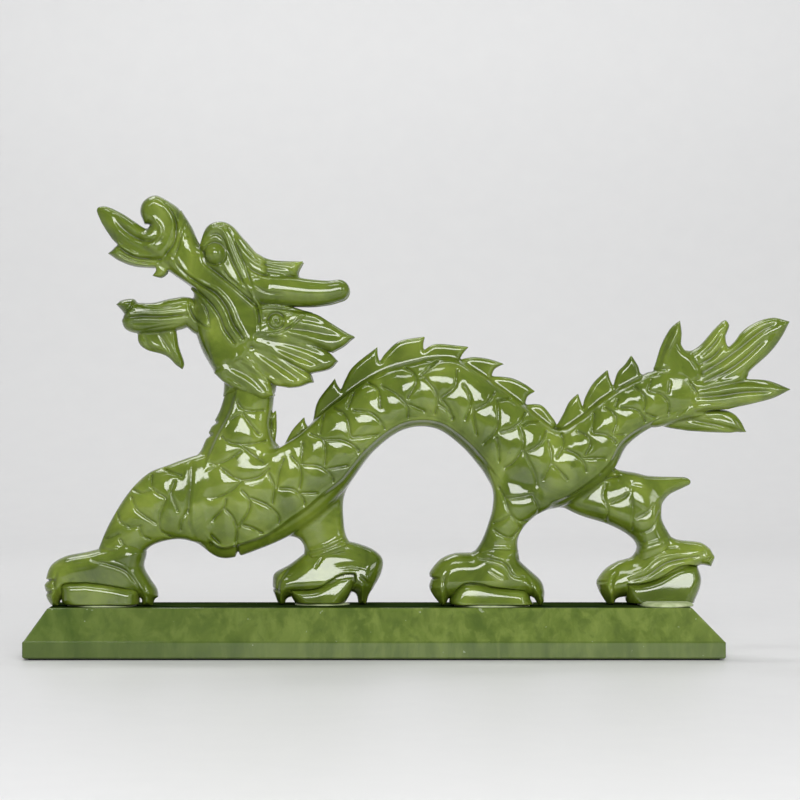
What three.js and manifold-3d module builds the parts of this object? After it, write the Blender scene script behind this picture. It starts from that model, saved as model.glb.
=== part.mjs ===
// A carved jade dragon standing on a long jade plinth.
//
// Millimetres, +Z up. The origin is the centre of the plinth's underside, on the felt that it rests on.
// The dragon faces -X, its tail points to +X, and -Y is the side that it is usually seen from (the near side).
// The dragon is one carved stone. It is laid out here as the regions a carver works it in, each a closed solid
// with a saw-cut gap to the next. The plinth, the felt and the four cement beds are pieces of their own.

import * as THREE from 'three';
import { mergeVertices } from 'three/addons/utils/BufferGeometryUtils.js';
import Module from 'manifold-3d';

// ---- driving dimensions ----

const GAP = 0.3;

const PLINTH_LENGTH = 400;
const PLINTH_DEPTH = 80;
const FELT_THICKNESS = 1;
const FELT_INSET = 3;
const BAND_TOP = 10.8;
const PLINTH_TOP = 29;
const PLINTH_SLOPE_FRONT = 14;
const PLINTH_SLOPE_HEAD_END = 13;
const PLINTH_SLOPE_TAIL_END = 18;
const EDGE_CHAMFER = 0.8;

const CEMENT_THICKNESS = 1;
const PEARL_BOTTOM = PLINTH_TOP + CEMENT_THICKNESS;
const PAW_BOTTOM = PLINTH_TOP + GAP;

const NEAR = -8;
const FAR = 6;
const PAW_WIDTH = 25;
const PEARL_HALF = [22, 15, 12];
const CREST_THICKNESS = 7;

const TUBE_SIDES = 20;
const SQUARENESS = 0.86;

// ---- materials ----

const finish = (color, roughness, metalness = 0) =>
  new THREE.MeshStandardMaterial({ color, roughness, metalness });
const JADE = finish('#7d9645', 0.12);
const JADE_PEARL = finish('#8aa352', 0.1);
const PLINTH_JADE = finish('#5f7a35', 0.14);
const CEMENT = finish('#b9c48d', 0.5);
const FELT = finish('#20241c', 0.95);

// ---- solids ----

const wasm = await Module();
wasm.setup();

function toSolid(geometry) {
  const bare = geometry.clone();
  bare.deleteAttribute('normal');
  bare.deleteAttribute('uv');
  const welded = mergeVertices(bare, 1e-4);
  return new wasm.Manifold(new wasm.Mesh({
    numProp: 3,
    vertProperties: new Float32Array(welded.attributes.position.array),
    triVerts: new Uint32Array(welded.index.array),
  }));
}

function toGeometry(solid) {
  const mesh = solid.getMesh();
  const geometry = new THREE.BufferGeometry();
  geometry.setAttribute('position', new THREE.BufferAttribute(new Float32Array(mesh.vertProperties), 3));
  geometry.setIndex(new THREE.BufferAttribute(new Uint32Array(mesh.triVerts), 1));
  geometry.computeVertexNormals();
  return geometry;
}

const joined = (solids) => solids.reduce((all, next) => all.add(next));
const cutBy = (solid, cutters) => cutters.reduce((rest, next) => rest.subtract(next), solid);

function largest(solid) {
  const bodies = solid.decompose();
  return bodies.reduce((best, next) => (next.volume() > best.volume() ? next : best));
}

// A flat carving: an outline in the XZ plane, worked to a thickness about the plane y, with rounded arrises.
function slab(outline, { thickness, y = 0, round = 1, steps = 1, smooth = 0, grow = 0 }) {
  const points = outline.map(([x, z]) => new THREE.Vector3(x, z, 0));
  const curve = new THREE.CatmullRomCurve3(points, true, 'centripetal');
  const drawn = smooth ? curve.getPoints(smooth).slice(0, smooth) : points;
  const shape = new THREE.Shape(drawn.map((p) => new THREE.Vector2(p.x, p.y)));
  const geometry = new THREE.ExtrudeGeometry(shape, {
    depth: thickness + 2 * grow - 2 * round,
    bevelThickness: round,
    bevelSize: round,
    bevelOffset: grow - round,
    bevelSegments: steps,
    curveSegments: 1,
  });
  geometry.translate(0, 0, round - thickness / 2 - grow);
  geometry.rotateX(Math.PI / 2);
  geometry.translate(0, y, 0);
  return toSolid(geometry);
}

// A limb or trunk: a row of stations, each [upper x, upper z, lower x, lower z, half depth].
// Its section is a squared oval that spans the two edges and the depth.
function edges(stations) {
  return {
    upper: new THREE.CatmullRomCurve3(stations.map(([x, z, , , half]) => new THREE.Vector3(x, half, z))),
    lower: new THREE.CatmullRomCurve3(stations.map(([, , x, z]) => new THREE.Vector3(x, 0, z))),
    last: stations.length - 1,
  };
}

function limb(stations, { from = 0, to = stations.length - 1, y = 0, rings = 6, grow = 0, sides = TUBE_SIDES }) {
  const { upper, lower, last } = edges(stations);
  const geometry = new THREE.CylinderGeometry(1, 1, 1, sides, rings);
  const place = geometry.attributes.position;
  const squared = (value) => Math.sign(value) * Math.abs(value) ** SQUARENESS;
  for (let i = 0; i < place.count; i += 1) {
    const along = (from + (place.getY(i) + 0.5) * (to - from)) / last;
    const top = upper.getPoint(along);
    const bottom = lower.getPoint(along);
    const halfDepth = top.y + grow;
    const middle = top.clone().add(bottom).multiplyScalar(0.5).setY(y);
    const outward = top.clone().sub(bottom).setY(0);
    const halfHeight = outward.length() / 2 + grow;
    middle.addScaledVector(outward.normalize(), squared(place.getX(i)) * halfHeight);
    place.setXYZ(i, middle.x, middle.y + squared(place.getZ(i)) * halfDepth, middle.z);
  }
  return toSolid(geometry);
}

function block(min, max) {
  const size = max.map((value, i) => value - min[i]);
  const geometry = new THREE.BoxGeometry(...size);
  geometry.translate(...min.map((value, i) => value + size[i] / 2));
  return toSolid(geometry);
}

// ---- plinth, felt ----

function plinth() {
  const levels = [
    [FELT_THICKNESS, EDGE_CHAMFER, EDGE_CHAMFER, EDGE_CHAMFER],
    [FELT_THICKNESS + EDGE_CHAMFER, 0, 0, 0],
    [BAND_TOP, 0, 0, 0],
    [PLINTH_TOP - EDGE_CHAMFER, PLINTH_SLOPE_HEAD_END, PLINTH_SLOPE_TAIL_END, PLINTH_SLOPE_FRONT],
    [PLINTH_TOP, PLINTH_SLOPE_HEAD_END + EDGE_CHAMFER, PLINTH_SLOPE_TAIL_END + EDGE_CHAMFER,
      PLINTH_SLOPE_FRONT + EDGE_CHAMFER],
  ];
  const geometry = new THREE.BoxGeometry(2, 2, levels.length - 1, 1, 1, levels.length - 1);
  const place = geometry.attributes.position;
  for (let i = 0; i < place.count; i += 1) {
    const level = Math.round(place.getZ(i) + (levels.length - 1) / 2);
    const [z, headInset, tailInset, sideInset] = levels[level];
    const endInset = place.getX(i) < 0 ? headInset : tailInset;
    const x = Math.sign(place.getX(i)) * (PLINTH_LENGTH / 2 - endInset);
    place.setXYZ(i, x, Math.sign(place.getY(i)) * (PLINTH_DEPTH / 2 - sideInset), z);
  }
  return toSolid(geometry);
}

function feltSheet() {
  const x = PLINTH_LENGTH / 2 - FELT_INSET;
  const y = PLINTH_DEPTH / 2 - FELT_INSET;
  return block([-x, -y, 0], [x, y, FELT_THICKNESS]);
}

// ---- trunk ----

// Each station: back x, back z, belly x, belly z, half depth.
const TRUNK = [
  [-60, 158, -86, 158, 14],
  [-60, 132, -98, 126, 16],
  [-55, 120, -106, 102, 18],
  [-43, 129, -106, 74, 19],
  [-31, 140, -89, 58, 19],
  [-17, 151, -62, 65, 19],
  [-4, 160, -37, 81, 19],
  [8, 168, -17, 97, 18],
  [22, 172, -1, 118, 18],
  [35, 173, 18, 131, 18],
  [48, 172, 36, 131, 18],
  [61, 165, 50, 121, 18],
  [75, 155, 61, 109, 19],
  [87, 146, 70, 97, 19],
  [98, 136, 84, 90, 19],
  [108, 132, 104, 86, 18],
  [119, 138, 124, 96, 17],
  [131, 149, 138, 107, 16],
  [145, 157, 149, 121, 14],
  [163, 165, 166, 132, 11],
  [180, 168, 186, 141, 8],
];

const TRUNK_SECTIONS = [
  ['neck', 0, 2, 5],
  ['chest', 2, 5, 7],
  ['forebody', 5, 8, 6],
  ['arched_back', 8, 12, 8],
  ['loins', 12, 16, 8],
  ['tail_root', 16, 20, 8],
];

const SAW = 0.02;

const trunkSection = (from, to, rings, grow = 0) => limb(TRUNK, { from, to, rings, grow });
const trunkGrown = () => TRUNK_SECTIONS.map(([, from, to, rings]) => trunkSection(from, to, rings, GAP));

// ---- legs, paws, pearls ----

// Each station: trailing edge x, z, leading edge x, z, half depth.
const LEGS = {
  near_foreleg: {
    y: NEAR,
    stations: [
      [-88, 68, -92, 117, 9], [-101, 67, -109, 114, 11], [-112, 68, -124, 109, 12], [-123, 67, -135, 104, 11],
      [-130, 62, -144, 92, 10.5], [-134, 55, -155, 70, 10], [-136, 49, -160, 60, 9.5],
    ],
  },
  far_foreleg: {
    y: FAR,
    stations: [[-10, 108, -50, 92, 9], [-16, 90, -47, 80, 11], [-18, 74, -42, 65, 11], [-16, 62, -40, 56, 10]],
  },
  near_hind_leg: {
    y: NEAR,
    stations: [
      [108, 98, 66, 108, 10], [102, 86, 68, 94, 12], [90, 78, 66, 84, 12], [83, 69, 62, 71, 10.5],
      [81, 60, 57, 59, 10],
    ],
  },
  far_hind_leg: {
    y: FAR,
    stations: [
      [126, 108, 112, 86, 9], [143, 106, 124, 80, 11], [158, 101, 137, 74, 11.5], [168, 88, 148, 69, 11],
      [173, 72, 152, 61, 10], [172, 62, 151, 54, 9.5],
    ],
  },
};

const HIND_SPUR = [[146, 105], [166, 104], [184, 102], [187, 99], [177, 93], [170, 84], [156, 88]];
const SPUR_THICKNESS = 9;

const PAWS = {
  near_fore_paw: {
    y: NEAR,
    outline: [
      [-160, 61], [-173, 58], [-185, 55], [-189, 47], [-191, 40], [-189, 33], [-185, PAW_BOTTOM],
      [-130, PAW_BOTTOM], [-125, 33], [-125, 41], [-129, 47], [-135, 54],
    ],
    pearl: -157,
  },
  far_fore_paw: {
    y: FAR,
    outline: [
      [-41, 57], [-54, 48], [-60, 43], [-61, 34], [-56, PAW_BOTTOM], [-7, PAW_BOTTOM], [-3, 34], [2, 41],
      [5, 49], [4, 57], [-5, 63], [-17, 65],
    ],
    pearl: -31,
  },
  near_hind_paw: {
    y: NEAR,
    outline: [
      [56, 60], [45, 60], [37, 56], [33, 51], [31, 42], [35, 34], [40, PAW_BOTTOM], [94, PAW_BOTTOM],
      [99, 36], [98, 42], [92, 49], [84, 56], [82, 61],
    ],
    pearl: 68,
  },
  far_hind_paw: {
    y: FAR,
    outline: [
      [154, 61], [142, 54], [134, 50], [131, 41], [135, 33], [140, PAW_BOTTOM], [184, PAW_BOTTOM], [189, 37],
      [193, 48], [200, 52], [197, 61], [189, 65], [174, 66],
    ],
    pearl: 168,
  },
};

function pearl(x, y, grow = 0) {
  const geometry = new THREE.SphereGeometry(1, 20, 12);
  geometry.rotateX(Math.PI / 2);
  const [halfX, halfY, halfZ] = PEARL_HALF;
  geometry.scale(halfX + grow, halfY + grow, halfZ + grow);
  geometry.translate(x, y, PEARL_BOTTOM + halfZ * 0.55);
  const above = block([x - 60, y - 60, PEARL_BOTTOM - 10 * grow], [x + 60, y + 60, PEARL_BOTTOM + 60]);
  return toSolid(geometry).intersect(above);
}

function cementBed(x, y) {
  const geometry = new THREE.CylinderGeometry(1, 1, CEMENT_THICKNESS, 24);
  geometry.rotateX(Math.PI / 2);
  const [halfX, halfY] = PEARL_HALF;
  geometry.scale(halfX * 0.74, halfY * 0.74, 1);
  geometry.translate(x, y, PLINTH_TOP + CEMENT_THICKNESS / 2);
  return toSolid(geometry);
}

// ---- crest along the back ----

const CRESTS = {
  neck_crest: [[-63, 152], [-57, 143], [-59, 132], [-56, 122], [-64, 120], [-70, 142]],
  fore_crest: [
    [-55, 121], [-41, 139], [-39, 132], [-33, 148], [-23, 161], [-20, 154], [-12, 170], [2, 179], [2, 171],
    [-1, 160], [-20, 143], [-44, 122],
  ],
  middle_crest: [
    [3, 170], [11, 180], [30, 185], [29, 177], [37, 182], [55, 179], [51, 172], [66, 172], [75, 169], [69, 162],
    [64, 157], [45, 166], [25, 167], [4, 160],
  ],
  rear_crest: [[71, 160], [79, 161], [93, 153], [88, 147], [100, 144], [106, 135], [98, 130], [84, 141], [71, 152]],
  tail_crest: [
    [108, 133], [111, 145], [118, 152], [121, 143], [124, 152], [136, 166], [139, 156], [141, 164], [150, 175],
    [154, 163], [150, 157], [138, 147], [120, 131],
  ],
};

// ---- tail leaves ----

const TAIL_LEAVES = [
  { y: -3, outline: [[155, 160], [161, 166], [170, 189], [178, 194], [179, 183], [184, 177], [172, 160], [164, 155]] },
  { y: 3, outline: [[170, 160], [184, 177], [191, 184], [205, 194], [204, 182], [206, 179], [192, 160], [178, 152]] },
  {
    y: 0,
    outline: [[188, 158], [206, 179], [221, 193], [231, 196], [241, 194], [232, 179], [217, 162], [196, 150]],
  },
  { y: -3, outline: [[192, 158], [217, 162], [242, 154], [227, 147], [211, 144], [206, 140], [188, 146]] },
  { y: 3, outline: [[176, 149], [196, 148], [213, 136], [217, 129], [202, 129], [185, 129], [168, 132], [164, 140]] },
];
const LEAF_THICKNESS = 13;

// ---- head ----

const SKULL = [
  [-101, 238], [-98, 247], [-94, 251], [-83, 251], [-76, 243], [-66, 232], [-50, 216], [-38, 205], [-36, 198],
  [-48, 188], [-64, 183], [-72, 176], [-83, 162], [-93, 164], [-101, 178], [-104, 190], [-104, 204], [-105, 213],
  [-111, 216], [-118, 222], [-112, 232],
];
const SNOUT = [
  [-161, 258], [-154, 261], [-146, 255], [-132, 248], [-136, 259], [-134, 264], [-128, 268], [-121, 265],
  [-112, 259], [-106, 248], [-98, 238], [-104, 220], [-112, 217], [-119, 221], [-127, 221], [-129, 226],
  [-140, 226], [-154, 234], [-149, 238], [-157, 249],
];
const LOWER_JAW = [
  [-150, 204], [-144, 208], [-133, 206], [-118, 208], [-108, 210], [-98, 206], [-97, 190], [-104, 188],
  [-109, 190], [-115, 187], [-110, 170], [-120, 172], [-134, 179], [-138, 187], [-144, 188], [-147, 193], [-145, 199],
];
const HORN = [[-76, 226], [-62, 222], [-40, 219], [-19, 218], [-14, 212], [-17, 207], [-30, 203], [-50, 205], [-68, 210]];
const BROW_TUFT = [[-80, 244], [-67, 233], [-60, 230], [-42, 229], [-46, 220], [-60, 220], [-74, 226]];
const MANE = [
  [-58, 200], [-35, 199], [-11, 185], [-24, 178], [-21, 171], [-30, 167], [-37, 164], [-36, 158], [-49, 156],
  [-57, 156], [-59, 150], [-71, 151], [-88, 158], [-92, 165], [-78, 170], [-70, 178], [-65, 190],
];

const SKULL_THICKNESS = 36;
const SNOUT_THICKNESS = 24;
const JAW_THICKNESS = 21;
const HORN_OFFSET = 13;
const HORN_THICKNESS = 9;
const MANE_OFFSET = 12;
const MANE_THICKNESS = 17;

const skull = (grow) => slab(SKULL, { thickness: SKULL_THICKNESS, round: 3.5, steps: 2, grow });
const snout = (grow) => slab(SNOUT, { thickness: SNOUT_THICKNESS, round: 3, steps: 2, grow });

// ---- assembly ----

const figurine = new THREE.Group();

function add(name, solid, material) {
  const mesh = new THREE.Mesh(toGeometry(solid), material);
  mesh.name = name;
  figurine.add(mesh);
}

add('base_felt', feltSheet(), FELT);
add('plinth', plinth(), PLINTH_JADE);

for (const [name, from, to, rings] of TRUNK_SECTIONS) {
  const last = to === TRUNK.length - 1;
  add(name, trunkSection(from + SAW / 2, last ? to : to - SAW / 2, rings), JADE);
}

const grownLegs = [];
for (const [name, { y, stations }] of Object.entries(LEGS)) {
  const shape = (grow) => limb(stations, { y, grow, rings: 8, sides: 16 });
  grownLegs.push(shape(GAP));
  add(name, largest(cutBy(shape(0), trunkGrown())), JADE);
}
const spur = slab(HIND_SPUR, { thickness: SPUR_THICKNESS, y: FAR, round: 2 });
add('hind_spur', largest(cutBy(spur, [...trunkGrown(), ...grownLegs])), JADE);

for (const [name, { y, outline, pearl: pearlX }] of Object.entries(PAWS)) {
  const pearlName = name.replace('paw', 'pearl');
  const paw = slab(outline, { thickness: PAW_WIDTH, y, round: 3.5, steps: 2, smooth: 28 });
  const aboveTop = block([-300, -60, PAW_BOTTOM], [300, 60, 120]);
  add(name, largest(cutBy(paw.intersect(aboveTop), [pearl(pearlX, y, GAP), ...grownLegs])), JADE);
  add(pearlName, pearl(pearlX, y), JADE_PEARL);
  add(pearlName.replace('pearl', 'cement_bed'), cementBed(pearlX, y), CEMENT);
}

for (const [name, outline] of Object.entries(CRESTS)) {
  const run = slab(outline, { thickness: CREST_THICKNESS, round: 1.2 });
  add(name, largest(cutBy(run, trunkGrown())), JADE);
}

const leafShape = ({ y, outline }, grow) => slab(outline, { thickness: LEAF_THICKNESS, y, round: 2.5, grow });
TAIL_LEAVES.forEach((leaf, i) => {
  const earlier = TAIL_LEAVES.slice(0, i).map((other) => leafShape(other, GAP));
  const crest = slab(CRESTS.tail_crest, { thickness: CREST_THICKNESS, round: 1.2, grow: GAP });
  add(`tail_leaf_${i + 1}`, largest(cutBy(leafShape(leaf, 0), [...trunkGrown(), ...earlier, crest])), JADE);
});

const neckGrown = trunkGrown()[0];
add('head', largest(cutBy(joined([skull(0), snout(0)]), [neckGrown])), JADE);
const headGrown = joined([skull(GAP), snout(GAP)]);
const jaw = slab(LOWER_JAW, { thickness: JAW_THICKNESS, round: 3, steps: 2 });
add('lower_jaw', largest(cutBy(jaw, [headGrown])), JADE);
for (const [side, sign] of [['near', -1], ['far', 1]]) {
  const horn = (grow) => slab(HORN, { thickness: HORN_THICKNESS, y: sign * HORN_OFFSET, round: 2.5, grow });
  const tuft = slab(BROW_TUFT, { thickness: HORN_THICKNESS, y: sign * HORN_OFFSET * 0.6, round: 2 });
  const hair = slab(MANE, { thickness: MANE_THICKNESS, y: sign * MANE_OFFSET, round: 2 });
  const half = block([-300, sign < 0 ? -60 : GAP / 2, 0], [300, sign < 0 ? -GAP / 2 : 60, 300]);
  add(`${side}_horn`, largest(cutBy(horn(0), [headGrown])), JADE);
  add(`${side}_brow_tuft`, largest(cutBy(tuft.intersect(half), [headGrown, horn(GAP)])), JADE);
  add(`${side}_mane`, largest(cutBy(hair.intersect(half), [headGrown, neckGrown, horn(GAP)])), JADE);
}

export default figurine;
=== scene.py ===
"""A carved jade dragon on its sloped jade plinth.

Each piece of the dragon is cut from a block of stone in code: outlines are worked to a depth, limbs are
rounded along their length, and ridges, grooves and scales are engraved before the block's skin is taken.
Carving is worked out in millimetres and becomes metres when a piece is made.
"""

import math

import bpy
import numpy as np
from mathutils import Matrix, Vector


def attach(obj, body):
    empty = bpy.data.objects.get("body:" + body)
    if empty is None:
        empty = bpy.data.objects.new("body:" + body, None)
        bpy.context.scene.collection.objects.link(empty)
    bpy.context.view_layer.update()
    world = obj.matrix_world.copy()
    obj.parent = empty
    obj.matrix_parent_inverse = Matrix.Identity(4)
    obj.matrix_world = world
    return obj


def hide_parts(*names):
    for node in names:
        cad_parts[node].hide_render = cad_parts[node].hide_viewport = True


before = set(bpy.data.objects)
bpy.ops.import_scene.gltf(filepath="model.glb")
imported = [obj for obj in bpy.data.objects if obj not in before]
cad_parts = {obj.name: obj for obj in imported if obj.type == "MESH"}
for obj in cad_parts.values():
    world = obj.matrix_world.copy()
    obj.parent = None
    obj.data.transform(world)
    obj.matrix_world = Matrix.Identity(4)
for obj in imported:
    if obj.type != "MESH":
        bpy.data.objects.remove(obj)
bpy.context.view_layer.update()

MM = 0.001
STEP = 0.65
FINE_STEP = 0.5
COARSE = 4
SEED = 7
PLINTH_TOP = 29.0
# Depths of the middle planes of the near and far legs.
NEAR = -8.0
FAR = 6.0
# How the carved skin is evened out.
RELAX_ROUNDS = 3
RELAX_PULLS = (0.55, -0.57)
# How wide and how deep a hollow is when it holds full shade.
HOLLOW_REACH = 2.2
HOLLOW_DEPTH = 0.55
# Points round each corner of the plinth and its felt.
CORNER_POINTS = 5


# ---- camera, floor and lights ----

CAMERA = Vector((0.0148, -1.840, 0.148))
LENS = 142.6
PAPER = (0.70, 0.70, 0.695)
PAPER_GRAIN = (0.67, 0.67, 0.67)


def make_camera():
    data = bpy.data.cameras.new("view_camera")
    data.lens = LENS
    data.sensor_width = 36.0
    camera = bpy.data.objects.new("view_camera", data)
    camera.location = CAMERA
    camera.rotation_euler = (math.radians(90), 0, 0)
    bpy.context.collection.objects.link(camera)
    bpy.context.scene.camera = camera


def make_backdrop():
    """A pale sheet that lies flat under the plinth and curves up behind it."""
    width, front, back, rise, bend = 6.0, -2.6, 2.2, 3.4, 0.9
    profile = [(front, 0.0)]
    for n in range(17):
        angle = math.pi / 2 * n / 16
        profile.append((back - bend + bend * math.sin(angle), bend - bend * math.cos(angle)))
    profile.append((back, rise))
    verts = [(x, y, z) for y, z in profile for x in (-width / 2, width / 2)]
    faces = [(2 * n, 2 * n + 1, 2 * n + 3, 2 * n + 2) for n in range(len(profile) - 1)]
    mesh = bpy.data.meshes.new("backdrop")
    mesh.from_pydata(verts, [], faces)
    mesh.shade_smooth()
    backdrop = bpy.data.objects.new("backdrop", mesh)
    bpy.context.collection.objects.link(backdrop)
    mesh.materials.append(paper_finish())


def make_softbox(name, place, aim, size, power):
    data = bpy.data.lights.new(name, "AREA")
    data.shape = "RECTANGLE"
    data.size, data.size_y = size
    data.energy = power
    lamp = bpy.data.objects.new(name, data)
    lamp.location = place
    lamp.rotation_euler = (Vector(aim) - Vector(place)).to_track_quat("-Z", "Y").to_euler()
    bpy.context.collection.objects.link(lamp)


def make_lights():
    make_softbox("front_box", (0.25, -1.92, 0.84), (0.0, 0.0, 0.12), (1.45, 0.72), 36)
    make_softbox("side_box", (1.9, -1.2, 0.8), (0.0, 0.0, 0.1), (0.5, 0.9), 7)
    make_softbox("high_box", (-0.3, -0.7, 2.0), (0.0, 0.0, 0.1), (0.7, 0.4), 6)
    make_softbox("paper_light", (0.0, 0.55, 2.1), (0.0, 1.9, 0.7), (2.4, 0.5), 26)
    make_softbox("rear_box", (-0.5, 1.1, 1.7), (0.0, 0.0, 0.12), (0.8, 0.5), 6)
    world = bpy.data.worlds.new("studio")
    bpy.context.scene.world = world
    world.use_nodes = True
    background = world.node_tree.nodes["Background"]
    background.inputs["Color"].default_value = (0.95, 0.96, 1.0, 1)
    background.inputs["Strength"].default_value = 0.23


# ---- shader maths ----

class Value:
    """A socket that can be used in a Python expression."""

    def __init__(self, finish, socket):
        self.finish = finish
        self.socket = socket

    def _math(self, operation, first, second):
        return self.finish.node("ShaderNodeMath", {"operation": operation}, {0: first, 1: second})

    def __add__(self, other):
        return self._math("ADD", self, other)

    def __radd__(self, other):
        return self._math("ADD", other, self)

    def __sub__(self, other):
        return self._math("SUBTRACT", self, other)

    def __rsub__(self, other):
        return self._math("SUBTRACT", other, self)

    def __mul__(self, other):
        return self._math("MULTIPLY", self, other)

    def __rmul__(self, other):
        return self._math("MULTIPLY", other, self)


class Finish:
    """One procedural material and the nodes that make it."""

    def __init__(self, name):
        self.material = bpy.data.materials.new(name)
        self.material.use_nodes = True
        self.tree = self.material.node_tree
        self.shader = self.tree.nodes["Principled BSDF"]

    def node(self, kind, settings=None, inputs=None, output=0):
        """Adds a node: its settings are made first, then its sockets get values or links."""
        made = self.tree.nodes.new(kind)
        for key, value in (settings or {}).items():
            if key == "stops":
                self._stops(made.color_ramp, value)
            else:
                setattr(made, key, value)
        for key, value in (inputs or {}).items():
            self.feed(made.inputs[key], value)
        return Value(self, made.outputs[output])

    @staticmethod
    def _stops(ramp, stops):
        while len(ramp.elements) < len(stops):
            ramp.elements.new(0.5)
        for element, (place, colour) in zip(ramp.elements, stops):
            element.position = place
            element.color = (*colour, 1)

    def feed(self, socket, value):
        if isinstance(value, Value):
            self.tree.links.new(value.socket, socket)
        elif isinstance(value, tuple) and socket.type == "RGBA" and len(value) == 3:
            socket.default_value = (*value, 1)
        else:
            socket.default_value = value

    def place(self, scale=(1, 1, 1), turn=(0, 0, 0)):
        """A point of the piece in metres, stretched and turned."""
        point = self.node("ShaderNodeTexCoord", output="Object")
        return self.node("ShaderNodeMapping", {}, {"Vector": point, "Scale": scale, "Rotation": turn})

    def noise(self, vector, scale, detail=4.0, roughness=0.5, distortion=0.0):
        return self.node(
            "ShaderNodeTexNoise", {},
            {"Vector": vector, "Scale": scale, "Detail": detail, "Roughness": roughness,
             "Distortion": distortion},
        )

    def ramp(self, factor, *stops):
        return self.node("ShaderNodeValToRGB", {"stops": stops}, {"Fac": factor})

    def band(self, factor, low, high):
        """0 below low, 1 above high and smooth between."""
        return self.node(
            "ShaderNodeMapRange", {"interpolation_type": "SMOOTHSTEP"},
            {"Value": factor, "From Min": low, "From Max": high},
        )

    def mix(self, factor, first, second):
        return self.node(
            "ShaderNodeMix", {"data_type": "RGBA"},
            {0: factor, 6: first, 7: second}, output=2,
        )

    def attribute(self, name):
        return self.node("ShaderNodeAttribute", {"attribute_name": name}, output="Fac")

    def bump(self, height, strength, distance):
        return self.node(
            "ShaderNodeBump", {}, {"Height": height, "Strength": strength, "Distance": distance},
            output="Normal",
        )

    def surface(self, **inputs):
        for key, value in inputs.items():
            self.feed(self.shader.inputs[key.replace("_", " ")], value)
        return self.material


def paper_finish():
    finish = Finish("pale_paper")
    grain = finish.noise(finish.place(), 40.0)
    tone = finish.mix(grain, PAPER_GRAIN, PAPER)
    return finish.surface(Base_Color=tone, Roughness=0.45)


# The light, body and dark greens of the dragon and of its pearls.
DRAGON_GREENS = ((0.215, 0.275, 0.038), (0.119, 0.168, 0.016), (0.058, 0.090, 0.006))
PEARL_GREENS = ((0.205, 0.265, 0.040), (0.120, 0.170, 0.018), (0.068, 0.102, 0.008))


def jade_finish(name, light, body, dark, cloud_scale=26.0):
    """Polished jade: cloudy body colour, paler drifts, dark flecks, and painted shade darkening the cut
    grooves and hollows.
    """
    finish = Finish(name)
    point = finish.place()
    clouds = finish.noise(point, cloud_scale, 5.0, 0.58, 0.9)
    drifts = finish.noise(finish.place((1.0, 1.6, 0.7), (0.2, 0.5, 0.9)), cloud_scale * 0.42, 3.0, 0.5, 1.6)
    grains = finish.noise(point, cloud_scale * 14, 3.0, 0.6)
    colour = finish.ramp(clouds, (0.30, dark), (0.52, body), (0.74, light))
    colour = finish.mix(finish.band(drifts, 0.50, 0.68) * 0.55, colour, light)
    colour = finish.mix(finish.band(drifts, 0.44, 0.30) * 0.45, colour, dark)
    colour = finish.mix(finish.band(grains, 0.60, 0.72) * 0.16, colour, light)
    specks = finish.noise(point, cloud_scale * 5, 2.0, 0.5)
    colour = finish.mix(finish.band(specks, 0.70, 0.76) * 0.5, colour, dark)
    # Painted shade: the deeper a vertex lies in a groove or hollow, the more its colour is darkened towards a
    # near-black green.
    hollow = finish.attribute("hollow")
    deep = tuple(c * 0.42 for c in dark)
    colour = finish.mix(finish.band(hollow, 0.10, 1.05) * 0.6, colour, deep)
    smear = finish.noise(point, 55.0, 3.0)
    roughness = 0.07 + finish.band(smear, 0.45, 0.8) * 0.07 + finish.band(hollow, 0.2, 0.9) * 0.22
    ripple = finish.noise(point, 140.0, 2.0)
    pits = finish.noise(point, 900.0, 1.0)
    normal = finish.bump(ripple + pits * 0.12, 0.10, 0.0006)
    return finish.surface(
        Base_Color=colour, Roughness=roughness, Normal=normal, IOR=1.57,
        Subsurface_Weight=0.35, Subsurface_Radius=(0.35, 0.55, 0.12), Subsurface_Scale=0.004,
    )


def plinth_finish():
    """Darker jade of the plinth: streaks that stand up the stone, pale drifts and a few white flecks."""
    finish = Finish("plinth_jade")
    point = finish.place()
    streaks = finish.noise(finish.place((1.0, 1.0, 0.16)), 62.0, 5.0, 0.6, 0.7)
    wisps = finish.noise(finish.place((1.0, 1.0, 0.3), (0.0, 0.25, 0.0)), 150.0, 4.0, 0.55, 0.4)
    drifts = finish.noise(point, 7.0, 3.0, 0.5, 1.0)
    colour = finish.ramp(
        streaks, (0.30, (0.070, 0.112, 0.016)), (0.50, (0.116, 0.167, 0.027)), (0.72, (0.185, 0.245, 0.052)),
    )
    colour = finish.mix(finish.band(wisps, 0.50, 0.68) * 0.42, colour, (0.22, 0.28, 0.062))
    colour = finish.mix(finish.band(wisps, 0.46, 0.32) * 0.42, colour, (0.055, 0.092, 0.014))
    colour = finish.mix(finish.band(drifts, 0.42, 0.66) * 0.30, colour, (0.17, 0.22, 0.05))
    # The plinth's colour grows darker towards its left end.
    along = finish.node("ShaderNodeSeparateXYZ", inputs={"Vector": point}) + drifts * 0.12
    colour = finish.mix(finish.band(along, 0.08, -0.17) * 0.55, colour, (0.050, 0.086, 0.014))
    # Painted shade: the upright lower band of the plinth, below about 10 mm, is darkened.
    height = finish.node("ShaderNodeSeparateXYZ", inputs={"Vector": point}, output=2)
    colour = finish.mix(finish.band(height, 0.0113, 0.0102) * 0.42, colour, (0.040, 0.070, 0.010))
    flecks = finish.noise(point, 240.0, 2.0, 0.4)
    colour = finish.mix(finish.band(flecks, 0.74, 0.78) * 0.5, colour, (0.44, 0.50, 0.36))
    smear = finish.noise(point, 40.0, 3.0)
    roughness = 0.09 + finish.band(smear, 0.45, 0.75) * 0.08
    normal = finish.bump(finish.noise(point, 36.0, 2.0) + flecks * 0.05, 0.06, 0.001)
    return finish.surface(
        Base_Color=colour, Roughness=roughness, Normal=normal, IOR=1.47,
        Subsurface_Weight=0.25, Subsurface_Radius=(0.35, 0.55, 0.12), Subsurface_Scale=0.004,
    )


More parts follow.
